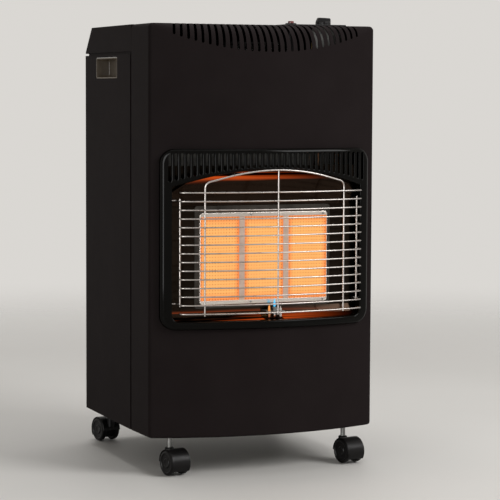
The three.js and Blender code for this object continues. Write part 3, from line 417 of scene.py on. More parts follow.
FINISHES = {
    # Satin black powder coat with a fine orange peel.
    "body_paint": (
        "satin_black_paint", (0.0142, 0.0109, 0.0110), (0.0164, 0.0127, 0.0128), (0.50, 0.53),
        dict(grain=1400.0, relief=0.00003, strength=0.30, specular=0.010),
    ),
    # Gloss black enamel with a faint waviness.
    "black_enamel": (
        "gloss_black_enamel", (0.0012, 0.0010, 0.0007), (0.0020, 0.0017, 0.0012), (0.05, 0.09),
        dict(cloud=9.0, grain=60.0, strength=0.25, specular=0.08),
    ),
    # Bright nickel-plated wire, dulled a little by heat.
    "chrome_wire": (
        "plated_wire", (0.36, 0.33, 0.31), (0.46, 0.43, 0.41), (0.24, 0.34),
        dict(metallic=1.0, cloud=24.0, grain=1200.0, relief=0.00002),
    ),
    # Galvanised sheet with soft spangles; its darkness is partly painted shade, for the zinc parts behind
    # the louvres.
    "zinc_steel": (
        "zinc_steel", (0.16, 0.16, 0.155), (0.26, 0.26, 0.25), (0.32, 0.48),
        dict(metallic=1.0, cloud=70.0, grain=500.0, relief=0.00002),
    ),
    # Heat-resisting polished sheet, drawn along its length.
    "polished_steel": (
        "polished_steel", (0.58, 0.53, 0.48), (0.76, 0.70, 0.64), (0.18, 0.32),
        dict(metallic=1.0, cloud=30.0, grain=700.0, relief=0.00003, stretch=(0.08, 1, 1)),
    ),
    # Moulded black plastic with a fine spark-eroded grain.
    "black_plastic": (
        "moulded_black_plastic", (0.0045, 0.0040, 0.0040), (0.0065, 0.0058, 0.0058), (0.30, 0.42),
        dict(cloud=40.0, grain=2200.0, strength=0.45, specular=0.14),
    ),
    # Moulded olive-brown plastic of the hand grips.
    "grip_plastic": (
        "grip_plastic", (0.082, 0.060, 0.036), (0.105, 0.078, 0.048), (0.40, 0.52),
        dict(cloud=30.0, grain=1800.0, strength=0.45),
    ),
    "red_plastic": (
        "red_plastic", (0.120, 0.012, 0.008), (0.165, 0.018, 0.012), (0.26, 0.36),
        dict(cloud=90.0, grain=1500.0, relief=0.00002),
    ),
    "brass": (
        "machined_brass", (0.52, 0.36, 0.13), (0.66, 0.48, 0.20), (0.24, 0.38),
        dict(metallic=1.0, cloud=50.0, relief=0.00002),
    ),
    "copper": (
        "drawn_copper", (0.45, 0.19, 0.09), (0.66, 0.32, 0.17), (0.22, 0.40),
        dict(metallic=1.0, cloud=45.0, grain=800.0, relief=0.00002),
    ),
    "porcelain": (
        "glazed_porcelain", (0.66, 0.63, 0.58), (0.80, 0.77, 0.72), (0.12, 0.24),
        dict(cloud=120.0, relief=0.00001, coat=0.4),
    ),
    "silicone_lead": (
        "silicone_sleeve", (0.020, 0.008, 0.007), (0.034, 0.014, 0.011), (0.50, 0.62),
        dict(cloud=90.0, grain=1500.0, relief=0.00002),
    ),
}


def painted_dark_sheet(name, low, high, roughness):
    """Glossy firebox sheet, near black as painted shade, with its reflections darkened as well."""
    look = dict(metallic=1.0, cloud=18.0, grain=300.0, relief=0.00005, stretch=(0.2, 1, 1))
    graph = finish(name, low, high, roughness, **look)
    # The dark specular tint dims the gloss: painted shade.
    graph.shade({"Specular Tint": (0.10, 0.06, 0.05, 1)})
    return graph


def painted_glow_reflection(name, low, high, reach):
    """The same near-black sheet, with a painted reflection of the burner's glow in long streaks between two
    heights.
    """
    # The near-black colour is painted shade.
    graph = painted_dark_sheet(name, (0.012, 0.008, 0.006), (0.024, 0.015, 0.010), (0.10, 0.18))
    streaks = graph.noise(graph.space((0.9, 14, 52)), 2.6, 2.0)
    place = graph.split(graph.space())
    between = graph.ranged(place["Z"], low * SCALE, high * SCALE, kind="SMOOTHSTEP")
    along = graph.ranged(place["X"], reach[1] * SCALE, reach[0] * SCALE, kind="SMOOTHSTEP")
    # The emission is painted light: the burner's glow as this sheet would reflect it.
    graph.shade({
        "Emission Color": graph.ramp(streaks, (0.0, 0.0, 0.0), (0.66, 0.085, 0.011), (0.45, 0.56)),
        "Emission Strength": graph.math("MULTIPLY", between, along),
    })
    return graph.owner


def scorched_steel():
    """Thin plate dulled by the heat beside the burner."""
    look = dict(metallic=1.0, cloud=26.0, grain=500.0, relief=0.00003)
    graph = finish("scorched_steel", (0.030, 0.027, 0.024), (0.060, 0.054, 0.048), (0.30, 0.48), **look)
    return graph.owner


def strip_steel():
    """The perforated strips between the plaques, bright and pinkish: painted light of the glow beside them.
    """
    look = dict(metallic=0.3, cloud=60.0, relief=0.00002)
    return finish("strip_steel", (0.66, 0.50, 0.42), (0.82, 0.66, 0.57), (0.35, 0.50), **look).owner


def hot_tip():
    """A probe's end at a dull orange heat."""
    graph = finish("hot_tip", (0.20, 0.07, 0.02), (0.32, 0.12, 0.03), (0.4, 0.6), cloud=300.0)
    graph.shade({"Emission Color": (1.0, 0.36, 0.06, 1), "Emission Strength": 0.7})
    return graph.owner


def flame_material():
    """The pilot's small blue flame, clearer at its edges."""
    graph = Graph(bpy.data.materials.new("pilot_flame"))
    flicker = graph.noise(graph.space(), 350.0, 2.0)
    edge = graph.add("LayerWeight", {"Blend": 0.35}).outputs["Facing"]
    graph.shade({
        "Emission Color": graph.ramp(flicker, (0.02, 0.30, 0.62), (0.10, 0.55, 0.85)),
        "Emission Strength": graph.spread(flicker, 0.9, 1.5),
        "Base Color": (0.02, 0.10, 0.20, 1),
        "Roughness": 0.6,
        "Alpha": graph.ranged(edge, 0.0, 1.0, 0.9, 0.15),
    })
    return graph.owner


# ---------------------------------------------------------------- front shell

LOUVRES = 29
LOUVRE_PITCH = 11.75
LOUVRE_HALF = 2.3
LOUVRE_DECK_RUN = 8.0
LAST_SLOT = LOUVRE_PITCH * (LOUVRES - 1) / 2 / BOW_RADIUS
ROLL_MIDDLE = 45.7
ROLL_LAST = 18.5
ROLL_LEAST = 7.5
ROLL_SIDE = 7.0
ROLL_STEPS = 9
CORNER = 8.0
FOOT_ROLL = 5.0
RETURN_DEPTH = 91.0
PANEL_HOLE_HALF = 178.0
PANEL_HOLE_LOW = BOTTOM + 186.0
PANEL_HOLE_HIGH = BOTTOM + 467.0
WALL_CLEAR = 1.5
SLOT_START_MOST = 0.125
DECK_FRONT_HALF = 192.8
DECK_SEAM_HALF = 194.0


def roll_radius(angle):
    """The top roll's radius, largest in the middle of the front."""
    share = (angle / LAST_SLOT) ** 2
    return max(ROLL_LEAST, ROLL_MIDDLE - (ROLL_MIDDLE - ROLL_LAST) * share)


def shell_columns():
    """Columns of the front, left to right: angle, offset across the slot, and whether in a slot."""
    round_offsets = [-LOUVRE_HALF * math.cos(k * math.pi / 6) for k in range(7)]
    hole = math.asin(PANEL_HOLE_HALF / BOW_RADIUS)
    turn = math.asin((HALF_WIDTH - CORNER) / (BOW_RADIUS - CORNER))
    edge = LAST_SLOT + LOUVRE_HALF / BOW_RADIUS
    outer = [edge + (hole - edge) * f for f in (0.33, 0.67, 1.0)]
    outer += [hole + (turn - hole) * f for f in (0.33, 0.67, 1.0)]
    columns = [(-a, 0.0, False) for a in reversed(outer)]
    for i in range(LOUVRES):
        angle = i * LOUVRE_PITCH / BOW_RADIUS - LAST_SLOT
        columns += [(angle, offset, True) for offset in round_offsets]
        if i < LOUVRES - 1:
            for f in (1 / 3, 2 / 3):
                across = LOUVRE_HALF + (LOUVRE_PITCH - 2 * LOUVRE_HALF) * f
                columns.append((angle + across / BOW_RADIUS, 0.0, False))
    columns += [(a, 0.0, False) for a in outer]
    return columns


def wall_heights(top_of_wall):
    """Heights of the wall's points, close together at its rolled foot."""
    foot = (0.0, 0.7, 1.7, 3.2, 5.0)
    wall = (42.0, 92.0, 142.0, 186.0, 232.0, 282.0, 332.0, 382.0, 432.0, 467.0, 512.0, 557.0, 592.0)
    low = [BOTTOM + lift for lift in foot + wall]
    return low + [low[-1] + (top_of_wall - low[-1]) * f for f in (0.4, 0.75, 1.0)]


def foot_inset(z, foot):
    """How far the wall turns in near its bottom edge."""
    drop = min(max(BOTTOM + foot - z, 0.0), foot)
    return math.sqrt(foot**2 - drop**2) - foot


def shell_profile(roll, slot_offset=None, foot=FOOT_ROLL):
    """Offsets and heights of one column: the wall, the start of the slots and the roll."""
    points = [(foot_inset(z, foot), z) for z in wall_heights(TOP - roll - WALL_CLEAR)]
    first = min(LOUVRE_HALF / roll, SLOT_START_MOST)
    start = first
    if slot_offset is not None:
        start = (LOUVRE_HALF - math.sqrt(max(LOUVRE_HALF**2 - slot_offset**2, 0.0))) / roll
    rises = [first + (math.pi / 2 - first) * k / ROLL_STEPS for k in range(1, ROLL_STEPS + 1)]
    points += [(-roll + roll * math.cos(r), TOP - roll + roll * math.sin(r)) for r in [start, *rises]]
    return points


def front_shell():
    """The bowed front with its louvred top roll and its two side returns."""
    side_depths = [10.0, 16.0, 24.0, 36.0, 54.0, 72.0, RETURN_DEPTH]
    side_rolls = [7.5, 7.4, 7.3, 7.2, 7.1, ROLL_SIDE, ROLL_SIDE]
    side_feet = [5.0, 4.6, 3.9, 3.0, 2.0, 1.0, 0.3]
    columns = shell_columns()
    turn = columns[-1][0]
    centre = (HALF_WIDTH - CORNER, BOW_CENTRE - (BOW_RADIUS - CORNER) * math.cos(turn))
    blends = (0.15, 0.4, 0.7, 1.0)
    grid = []
    for angle, offset, in_slot in columns:
        roll = roll_radius(angle)
        tangent = (math.cos(angle), math.sin(angle))
        inward = (-math.sin(angle), math.cos(angle))
        line = []
        for out, z in shell_profile(roll, offset if in_slot else None):
            x, y = on_bow(angle, out)
            line.append((x + tangent[0] * offset, y + tangent[1] * offset, z))
        end = line[-1]
        slot_end = LOUVRE_DECK_RUN - LOUVRE_HALF
        if in_slot:
            slot_end += math.sqrt(max(LOUVRE_HALF**2 - offset**2, 0.0))
        for run in (slot_end / 2, slot_end, LOUVRE_DECK_RUN + 2):
            line.append((end[0] + inward[0] * run, end[1] + inward[1] * run, TOP))
        last = line[-1]
        target = (end[0] * DECK_SEAM_HALF / DECK_FRONT_HALF, RETURN_DEPTH)
        for f in blends:
            line.append((last[0] + (target[0] - last[0]) * f, last[1] + (target[1] - last[1]) * f, TOP))
        grid.append(line)

    def corner_line(side, share, beside):
        angle = turn + (math.pi / 2 - turn) * share
        normal = (math.sin(angle), -math.cos(angle))
        line = []
        for out, z in shell_profile(ROLL_LEAST):
            reach = CORNER + out
            line.append((side * (centre[0] + normal[0] * reach), centre[1] + normal[1] * reach, z))
        outermost = [(side * (HALF_WIDTH - r), y, TOP) for y, r in zip(side_depths, side_rolls)]
        for near, far in zip(beside[-len(outermost):], outermost):
            line.append(tuple(near[k] + (far[k] - near[k]) * share for k in range(3)))
        return line

    shares = [k / 6 for k in range(1, 7)]
    right = [corner_line(1, share, grid[-1]) for share in shares]
    left = [corner_line(-1, share, grid[0]) for share in reversed(shares)]
    grid = left + grid + right
    in_slot = [False] * len(left) + [c[2] for c in columns] + [False] * len(right)
    angles = [None] * len(left) + [c[0] for c in columns] + [None] * len(right)
    slot_first = len(wall_heights(0))
    slot_last = len(grid[0]) - len(blends) - 2
    hole = math.asin(PANEL_HOLE_HALF / BOW_RADIUS) + 1e-6
    low_row = wall_heights(0).index(PANEL_HOLE_LOW)
    high_row = wall_heights(0).index(PANEL_HOLE_HIGH)

    def keep(i, j):
        if in_slot[i] and in_slot[i + 1] and slot_first <= j < slot_last:
            return abs(angles[i] - angles[i + 1]) > 1e-9
        inside = angles[i] is not None and angles[i + 1] is not None
        if inside and abs(angles[i]) <= hole and abs(angles[i + 1]) <= hole:
            return not low_row <= j < high_row
        return True

    points = [point for line in grid for point in line]
    faces = grid_faces(len(grid), len(grid[0]), keep=keep)
    for side in (-1, 1):
        first = len(points)
        start = shell_profile(ROLL_LEAST)
        lines = [[(side * (HALF_WIDTH + out), centre[1], z) for out, z in start]]
        for y, r, foot in zip(side_depths, side_rolls, side_feet):
            lines.append([(side * (HALF_WIDTH + out), y, z) for out, z in shell_profile(r, foot=foot)])
        points += [point for line in lines for point in line]
        faces += [tuple(first + v for v in face) for face in grid_faces(len(lines), len(start))]
    piece = mesh_piece("front_panel", points, faces)
    weld(piece)
    if (piece.data.polygons[0].normal.x + piece.data.polygons[0].normal.y) > 0:
        piece.data.flip_normals()
    thicken(piece, SHEET)
    round_edges(piece, 0.35)
    return crisp(piece, 40)


# ---------------------------------------------------------------- window surround

BEZEL_HALF = 185.0
BEZEL_LOW = BOTTOM + 179.0
BEZEL_HIGH = BOTTOM + 474.0
BEZEL_PROUD = 9.0
BEZEL_CORNER = 23.0
BEZEL_ROUND = 5.0
BEZEL_SHEET = 1.5
LIP_ROUND = 3.0
LIP_BACK = BEZEL_PROUD - 16.0
WINDOW_HALF = 167.0
WINDOW_LOW = BOTTOM + 192.5
WINDOW_SPRING = BOTTOM + 411.5
WINDOW_CROWN = BOTTOM + 440.0
WINDOW_CORNER = 12.0
VENTS = 36
VENT_SPAN = 171.0
VENT_HALF = 2.2
VENT_ROUND = 1.6
VENT_DEPTH = 2.6
VENT_TOP = BOTTOM + 467.0
VENT_MIDDLE = BOTTOM + 444.0
VENT_END = BOTTOM + 421.0


def bezel_outline(inset):
    """The surround's outline, anticlockwise from the lower right corner."""
    half = BEZEL_HALF - inset
    low = BEZEL_LOW + inset
    high = BEZEL_HIGH - inset
    r = BEZEL_CORNER - inset
    quarter = math.pi / 2
    points = corner_points(half - r, low + r, r, -quarter)
    points += line_points((half, low + r), (half, high - r), 8)
    points += corner_points(half - r, high - r, r, 0)
    points += line_points((half - r, high), (-half + r, high), 24)
    points += corner_points(-half + r, high - r, r, quarter)
    points += line_points((-half, high - r), (-half, low + r), 8)
    points += corner_points(-half + r, low + r, r, 2 * quarter)
    points += line_points((-half + r, low), (half - r, low), 24)
    return points


def window_outline(grow):
    """The window's outline: rounded lower corners and an arched top."""
    half = WINDOW_HALF + grow
    low = WINDOW_LOW - grow
    spring = WINDOW_SPRING + grow
    rise = WINDOW_CROWN - WINDOW_SPRING
    r = WINDOW_CORNER + grow
    points = corner_points(half - r, low + r, r, -math.pi / 2)
    points += line_points((half, low + r), (half, spring), 8)
    for k in range(32):
        x = half * (1 - 2 * k / 32)
        points.append((x, spring + rise * (1 - (x / half) ** 2)))
    points += line_points((-half, spring), (-half, low + r), 8)
    points += corner_points(-half + r, low + r, r, math.pi)
    points += line_points((-half + r, low), (half - r, low), 24)
    return points


def vent_outline(x, grow):
    """A round-ended slot, longer towards the sides of the surround."""
    low = VENT_END + (VENT_MIDDLE - VENT_END) * (1 - (x / VENT_SPAN) ** 2) + VENT_HALF
    high = VENT_TOP - VENT_HALF
    r = VENT_HALF + grow
    points = [(x + r * math.cos(a), high + r * math.sin(a)) for a in np.linspace(0, math.pi, 7)]
    arc = np.linspace(math.pi, 2 * math.pi, 7)
    return points + [(x + r * math.cos(a), low + r * math.sin(a)) for a in arc]


def window_bezel():
    """The surround, with its rolled edge, the window's lip and a rolled rim round each vent."""
    vents = [VENT_SPAN * (2 * i / (VENTS - 1) - 1) for i in range(VENTS)]
    holes = [vent_outline(x, VENT_ROUND) for x in vents]
    flat, faces = filled_sheet(bezel_outline(BEZEL_ROUND), [window_outline(LIP_ROUND), *holes], 16.0)
    points = [on_face(x, z, BEZEL_PROUD) for x, z in flat]
    edges = [(bezel_outline, BEZEL_ROUND, 5, GAP), (window_outline, LIP_ROUND, 5, LIP_BACK)]
    edges += [(partial(vent_outline, x), VENT_ROUND, 4, BEZEL_PROUD - VENT_DEPTH) for x in vents]
    for outline, radius, steps, back in edges:
        rim = [(inset, BEZEL_PROUD - drop) for inset, drop in rolled(radius, steps)] + [(0.0, back)]
        loops = [[on_face(x, z, out) for x, z in outline(inset)] for inset, out in rim]
        add_loops(points, faces, loops)
    piece = mesh_piece("window_surround", points, faces)
    weld(piece, 2e-5)
    return pressed(piece, BEZEL_SHEET, 0.6, 3)


# ---------------------------------------------------------------- wires

WIRE_SHOWN = 1.2
FRAME_WIRE_SHOWN = 1.45
GUARD_HALF = 160.0
GUARD_ROD = 157.0
GUARD_UPRIGHT = 122.6
GUARD_FIRST = BOTTOM + 207.4
GUARD_PITCH = 14.05
GUARD_WIRES = 15
GUARD_ARCH_END = BOTTOM + 418.0
GUARD_BEND = 9
GUARD_LOW = GUARD_FIRST - 4
GUARD_HIGH = GUARD_FIRST + (GUARD_WIRES - 1) * GUARD_PITCH
BEHIND_WIRES = GUARD_PROUD - WIRE_RADIUS
BEND_STEPS = 5
WIRE_SIDES = 10
WIRE_CAP = ((1.0, 0.05), (0.75, 0.66), (0.3, 0.95))


def rounded_route(points, radius):
    """A polyline with each sharp bend rounded."""
    route = [Vector(points[0])]
    for before, here, after in zip(points, points[1:], points[2:]):
        here = Vector(here)
        back = Vector(before) - here
        ahead = Vector(after) - here
        reach = min(radius, back.length * 0.45, ahead.length * 0.45)
        start = here + back.normalized() * reach
        end = here + ahead.normalized() * reach
        for k in range(BEND_STEPS + 1):
            t = k / BEND_STEPS
            route.append(start.lerp(here, t).lerp(here.lerp(end, t), t))
    return [*route, Vector(points[-1])]


def tube(route, radius):
    """Points and faces of a round wire with rounded ends."""
    route = [Vector(p) for p in route]
    inward = (route[1] - route[0]).normalized()
    outward = (route[-1] - route[-2]).normalized()
    stations = [(route[0] + inward * radius * (1 - c), radius * s) for c, s in WIRE_CAP]
    stations += [(p, radius) for p in route[1:-1]]
    stations += [(route[-1] - outward * radius * (1 - c), radius * s) for c, s in reversed(WIRE_CAP)]
    points = []
    side = None
    for i, (place, r) in enumerate(stations):
        ahead = stations[min(i + 1, len(stations) - 1)][0] - stations[max(i - 1, 0)][0]
        ahead.normalize()
        if side is None:
            side = ahead.orthogonal().normalized()
        side = (side - ahead * side.dot(ahead)).normalized()
        across = ahead.cross(side)
        for k in range(WIRE_SIDES):
            a = 2 * math.pi * k / WIRE_SIDES
            points.append(place + (side * math.cos(a) + across * math.sin(a)) * r)
    faces = grid_faces(len(stations), WIRE_SIDES, closed=True)
    faces.append(tuple(reversed(range(WIRE_SIDES))))
    faces.append(tuple(range(len(points) - WIRE_SIDES, len(points))))
    return points, faces


def guard_wire(z):
    """A cross wire along the bow, whose ends turn back to the rods."""
    y = bow_depth(GUARD_HALF, GUARD_PROUD)
    xs = np.linspace(-GUARD_HALF + 3, GUARD_HALF - 3, 25)
    middle = [(x, bow_depth(x, GUARD_PROUD), z) for x in xs]
    bend = [(-GUARD_ROD, y + 16.4, z), (-GUARD_HALF - 1.0, y + 2.2, z), middle[1]]
    ends = rounded_route(bend, GUARD_BEND)[:-1]
    mirrored = [Vector((-p.x, p.y, p.z)) for p in reversed(ends)]
    return [*ends, *middle[1:-1], *mirrored]


def guard_arch():
    """The arched wire over the top, which runs down as the left and right uprights."""
    arch = []
    for k in range(25):
        x = GUARD_UPRIGHT * (2 * k / 24 - 1)
        rise = (WINDOW_CROWN - GUARD_ARCH_END) * (1 - (x / GUARD_UPRIGHT) ** 2)
        arch.append((x, bow_depth(x, BEHIND_WIRES), GUARD_ARCH_END + rise))
    foot = bow_depth(GUARD_UPRIGHT, BEHIND_WIRES)
    heights = (GUARD_LOW, GUARD_LOW + 60, GUARD_LOW + 140, GUARD_ARCH_END + 1.5)
    left = [(-GUARD_UPRIGHT, foot, z) for z in heights]
    right = [(-x, y, z) for x, y, z in reversed(left)]
    return rounded_route([*left, *arch[3:-3], *right], GUARD_BEND)


def wire_guard():
    """The cross wires, the arch with its uprights, the middle upright and the two end rods."""
    routes = [(guard_wire(GUARD_FIRST + i * GUARD_PITCH), WIRE_SHOWN) for i in range(GUARD_WIRES)]
    routes.append((guard_arch(), FRAME_WIRE_SHOWN))
    middle = bow_depth(0, BEHIND_WIRES)
    heights = (GUARD_LOW, GUARD_LOW + 80, GUARD_HIGH, WINDOW_CROWN)
    routes.append(([(0, middle, z) for z in heights], FRAME_WIRE_SHOWN))
    y = bow_depth(GUARD_HALF, GUARD_PROUD) + 16
    rod = (GUARD_LOW + GUARD_PITCH, GUARD_LOW + 80, GUARD_HIGH - 60, GUARD_HIGH + 4 - GUARD_PITCH)
    for side in (-1, 1):
        x = side * GUARD_ROD
        routes.append(([(x, y, z) for z in rod], FRAME_WIRE_SHOWN))
        for i in (1, GUARD_WIRES - 2):
            z = GUARD_FIRST + i * GUARD_PITCH
            leg = [(x, y, z), (x, y + 18, z), (side * (WINDOW_HALF - GAP), y + 18, z)]
            routes.append((rounded_route(leg, 5), WIRE_SHOWN))
    return joined_piece("guard_wires", [tube(route, radius) for route, radius in routes], 50)


# ---------------------------------------------------------------- burner

PLAQUE_WIDTH = 69.0
PLAQUE_HEIGHT = 140.0
PLAQUE_PITCH = 78.5
PLAQUE_FRONT = -3.2
PLAQUE_THICKNESS = 12.0
STRIP_WIDTH = 9.4
STRIP_FRONT = -4.3
BURNER_HALF = 114.0
BURNER_LOW = BOTTOM + 216.5
BURNER_HIGH = BURNER_LOW + 152.0
BURNER_MIDDLE = BURNER_LOW + 76.0
BURNER_FRONT = -5.0
BURNER_BACK = 1.7
FACE_HALF_WIDTH = 112.6
FACE_HALF_HEIGHT = 69.0
FRAME_ROUND = 0.9
FRAME_CORNER = 4.5
FRAME_SHEET = 0.6
SCREW_PLACES = (-24.0, 106.0)
SCREW_INSET = 3.6
GASKET_HALF = 121.0
GASKET_HOLE_HALF = 113.0
GASKET_CORNER = 5.0
GASKET_FRONT = 0.9
GASKET_SHEET = 0.8
HOLE_SIDES = 8
# Columns, rows, radius and depth of the holes.
PLAQUE_HOLES = (14, 28, 1.25, 3.0)
STRIP_HOLES = (4, 60, 0.75, 0.9)
PILOT_X = 13.7
PILOT_PITCH = 10.0
PILOT_DEPTH = -19.0
PILOT_BASE = BOTTOM + 198.0


def holed_block(name, x0, x1, z0, z1, front, back, columns, rows, hole, depth):
    """A block whose front has a grid of round blind holes."""
    points = []
    faces = []
    step_x = (x1 - x0) / columns
    step_z = (z1 - z0) / rows
    for i in range(columns):
        for j in range(rows):
            cx = x0 + (i + 0.5) * step_x
            cz = z0 + (j + 0.5) * step_z
            first = len(points)
            square = [(1, 0), (1, 1), (0, 1), (-1, 1), (-1, 0), (-1, -1), (0, -1), (1, -1)]
            points += [(cx + dx * step_x / 2, front, cz + dz * step_z / 2) for dx, dz in square]
            for r, y in ((hole, front), (hole * 0.92, front + depth * 0.3), (hole * 0.85, front + depth)):
                for k in range(HOLE_SIDES):
                    a = 2 * math.pi * k / HOLE_SIDES
                    points.append((cx + r * math.cos(a), y, cz + r * math.sin(a)))
            for ring in range(3):
                start = first + ring * HOLE_SIDES
                faces += ring_faces(start, start + HOLE_SIDES, HOLE_SIDES)
            faces.append(tuple(range(first + 3 * HOLE_SIDES, first + 4 * HOLE_SIDES)))
    first = len(points)
    points += [(x0, front, z0), (x1, front, z0), (x1, front, z1), (x0, front, z1)]
    points += [(x0, back, z0), (x1, back, z0), (x1, back, z1), (x0, back, z1)]
    faces += [tuple(first + v for v in face) for face in
              ((0, 4, 5, 1), (1, 5, 6, 2), (2, 6, 7, 3), (3, 7, 4, 0), (4, 7, 6, 5))]
    piece = mesh_piece(name, points, faces)
    weld(piece, 1e-6)
    return crisp(piece, 35)


def plaque(i, name):
    """A ceramic plaque, i places from the middle."""
    x = i * PLAQUE_PITCH
    half = PLAQUE_WIDTH / 2
    low = BURNER_MIDDLE - PLAQUE_HEIGHT / 2
    high = BURNER_MIDDLE + PLAQUE_HEIGHT / 2
    back = PLAQUE_FRONT + PLAQUE_THICKNESS
    return holed_block(name, x - half, x + half, low, high, PLAQUE_FRONT, back, *PLAQUE_HOLES)


def flame_strip(i, name):
    """A perforated strip between two plaques."""
    x = i * PLAQUE_PITCH
    half = STRIP_WIDTH / 2
    low = BURNER_MIDDLE - FACE_HALF_HEIGHT + 0.2
    high = BURNER_MIDDLE + FACE_HALF_HEIGHT - 0.2
    return holed_block(name, x - half, x + half, low, high, STRIP_FRONT, PLAQUE_FRONT, *STRIP_HOLES)


def burner_frame():
    """A folded frame round the three plaques, open in one piece in front of them."""

    def outline(inset):
        corner = FRAME_CORNER + FRAME_ROUND - inset
        low = BURNER_LOW + inset
        return rounded_box(-BURNER_HALF + inset, BURNER_HALF - inset, low, BURNER_HIGH - inset, corner)

    low = BURNER_MIDDLE - FACE_HALF_HEIGHT
    high = BURNER_MIDDLE + FACE_HALF_HEIGHT
    hole = rounded_box(-FACE_HALF_WIDTH, FACE_HALF_WIDTH, low, high, 2.0)
    flat, faces = filled_sheet(outline(FRAME_ROUND), [hole], 60.0)
    points = [(x, BURNER_FRONT, z) for x, z in flat]
    rim = [*rolled(FRAME_ROUND, 4), (0.0, BURNER_BACK - BURNER_FRONT)]
    loops = [[(x, BURNER_FRONT + back, z) for x, z in outline(inset)] for inset, back in rim]
    add_loops(points, faces, loops)
    piece = mesh_piece("burner_surround", points, faces)
    weld(piece, 2e-5)
    return pressed(piece, FRAME_SHEET, 0.3)


def burner_screws():
    """Small pan-head screws in the frame's upper and lower strips."""
    profile = [(0.2, 0.1), (1.7, 0.0), (1.6, -0.6), (1.0, -0.95), (0.5, -1.0), (0.3, -0.5), (0.1, -0.5)]
    heights = (BURNER_LOW + SCREW_INSET, BURNER_HIGH - SCREW_INSET)
    places = [(x, BURNER_FRONT, z) for x in SCREW_PLACES for z in heights]
    return joined_piece("burner_screws", [lathe(profile, place, "Y", 16) for place in places])


def burner_gasket():
    """A flat heat-dulled plate round the burner, against the firebox's back."""
    outer = rounded_box(-GASKET_HALF, GASKET_HALF, BURNER_LOW - 6, BURNER_HIGH + 11, GASKET_CORNER)
    half = GASKET_HOLE_HALF
    hole = rounded_box(-half, half, BURNER_LOW + 1, BURNER_HIGH - 1, GASKET_CORNER)
    flat, faces = filled_sheet(outer, [hole], 80.0)
    piece = mesh_piece("burner_gasket", [(x, GASKET_FRONT, z) for x, z in flat], faces)
    return pressed(piece, GASKET_SHEET, 0.25, angle=40)


def glowing_ceramic():
    """Glowing ceramic: brighter in the middle of a plaque, redder at its edges, dimmer in its holes."""
    graph = Graph(bpy.data.materials.new("glowing_ceramic"))
    space = graph.space()
    fine = graph.noise(space, 900.0, 2.0)
    place = graph.split(space)

    def reach(output, centre, half, margin):
        """1 inside the plaque, falling to 0 over the margin at its edge."""
        size = graph.math("ABSOLUTE", graph.math("SUBTRACT", output, centre))
        return graph.ranged(size, half, half - margin, kind="SMOOTHSTEP")

    column = graph.math("PINGPONG", place["X"], PLAQUE_PITCH * SCALE / 2)
    across = reach(column, 0.0, PLAQUE_WIDTH / 2 * SCALE, 0.010)
    up = reach(place["Z"], BURNER_MIDDLE * SCALE, PLAQUE_HEIGHT / 2 * SCALE, 0.016)
    clouds = graph.spread(graph.noise(space, 22.0), 0.85, 1.0)
    warmed = graph.math("MULTIPLY", graph.math("MULTIPLY", across, up), clouds)
    surface = PLAQUE_FRONT - ROW_SHIFT
    graph.shade({
        "Emission Color": graph.ramp(warmed, (0.90, 0.24, 0.055), (1.0, 0.46, 0.13), (0.0, 1.0)),
        "Emission Strength": graph.ranged(
            place["Y"], (surface + 0.2) * SCALE, (surface + 1.6) * SCALE, 1.0, 0.55
        ),
        "Base Color": graph.ramp(fine, (0.070, 0.034, 0.014), (0.100, 0.052, 0.022)),
        "Roughness": graph.spread(fine, 0.80, 0.95),
    })
    graph.bump(fine, 0.4, 0.00003)
    return graph.owner


def flame_tongue():
    """The pilot's flame, a small tongue above its hood."""
    profile = [(0.1, 0.0), (1.5, 0.6), (2.3, 2.5), (2.4, 4.5), (1.9, 7.0), (1.2, 10.0)]
    profile += [(0.5, 13.5), (0.05, 15.0)]
    foot = (PILOT_X, PILOT_DEPTH + 1.5, PILOT_BASE + 13.2)
    return joined_piece("pilot_flame", [lathe(profile, foot, "Z", 20)], 80)


def thermocouple_tip():
    """The probe's end, hot in the pilot's flame."""
    z = PILOT_BASE - 2.7
    profile = [(0.2, z + 7.4), (2.3, z + 7.4), (2.3, z + 10), (1.75, z + 11.9), (1.7, z + 15.4)]
    profile += [(1.4, z + 17.6), (0.8, z + 18.5), (0.1, z + 18.8)]
    place = (PILOT_X - PILOT_PITCH, PILOT_DEPTH, 0)
    return joined_piece("thermocouple_tip", [lathe(profile, place, "Z", 20)], 50)


# ---------------------------------------------------------------- castors

WHEEL_RADIUS = 20.5
WHEEL_INNER = 8.8
WHEEL_WIDTH = 8.6
TRAIL = 17.0
HOOD_RADIUS = 22.8
HOOD_MIDDLE = 22.2
HOOD_CUT = 8.0
HOOD_REACH = 90 + math.degrees(math.asin((WHEEL_RADIUS - HOOD_CUT) / HOOD_MIDDLE))
HOOD_STEPS = 40
STEM_RADIUS = 4.0
CASTORS = {
    "front_left": (-157.4, 20.6, 12),
    "front_right": (157.4, 20.6, 12),
    "rear_left": (-157.4, 339.0, 192),
    "rear_right": (157.4, 339.0, 172),
}


def placed(parts, x, y, turn):
    """Castor parts, turned about their stem and moved to it."""
    c = math.cos(math.radians(turn))
    s = math.sin(math.radians(turn))
    moved = []
    for points, faces in parts:
        moved.append(([(x + c * p[0] - s * p[1], y + s * p[0] + c * p[1], p[2]) for p in points], faces))
    return moved


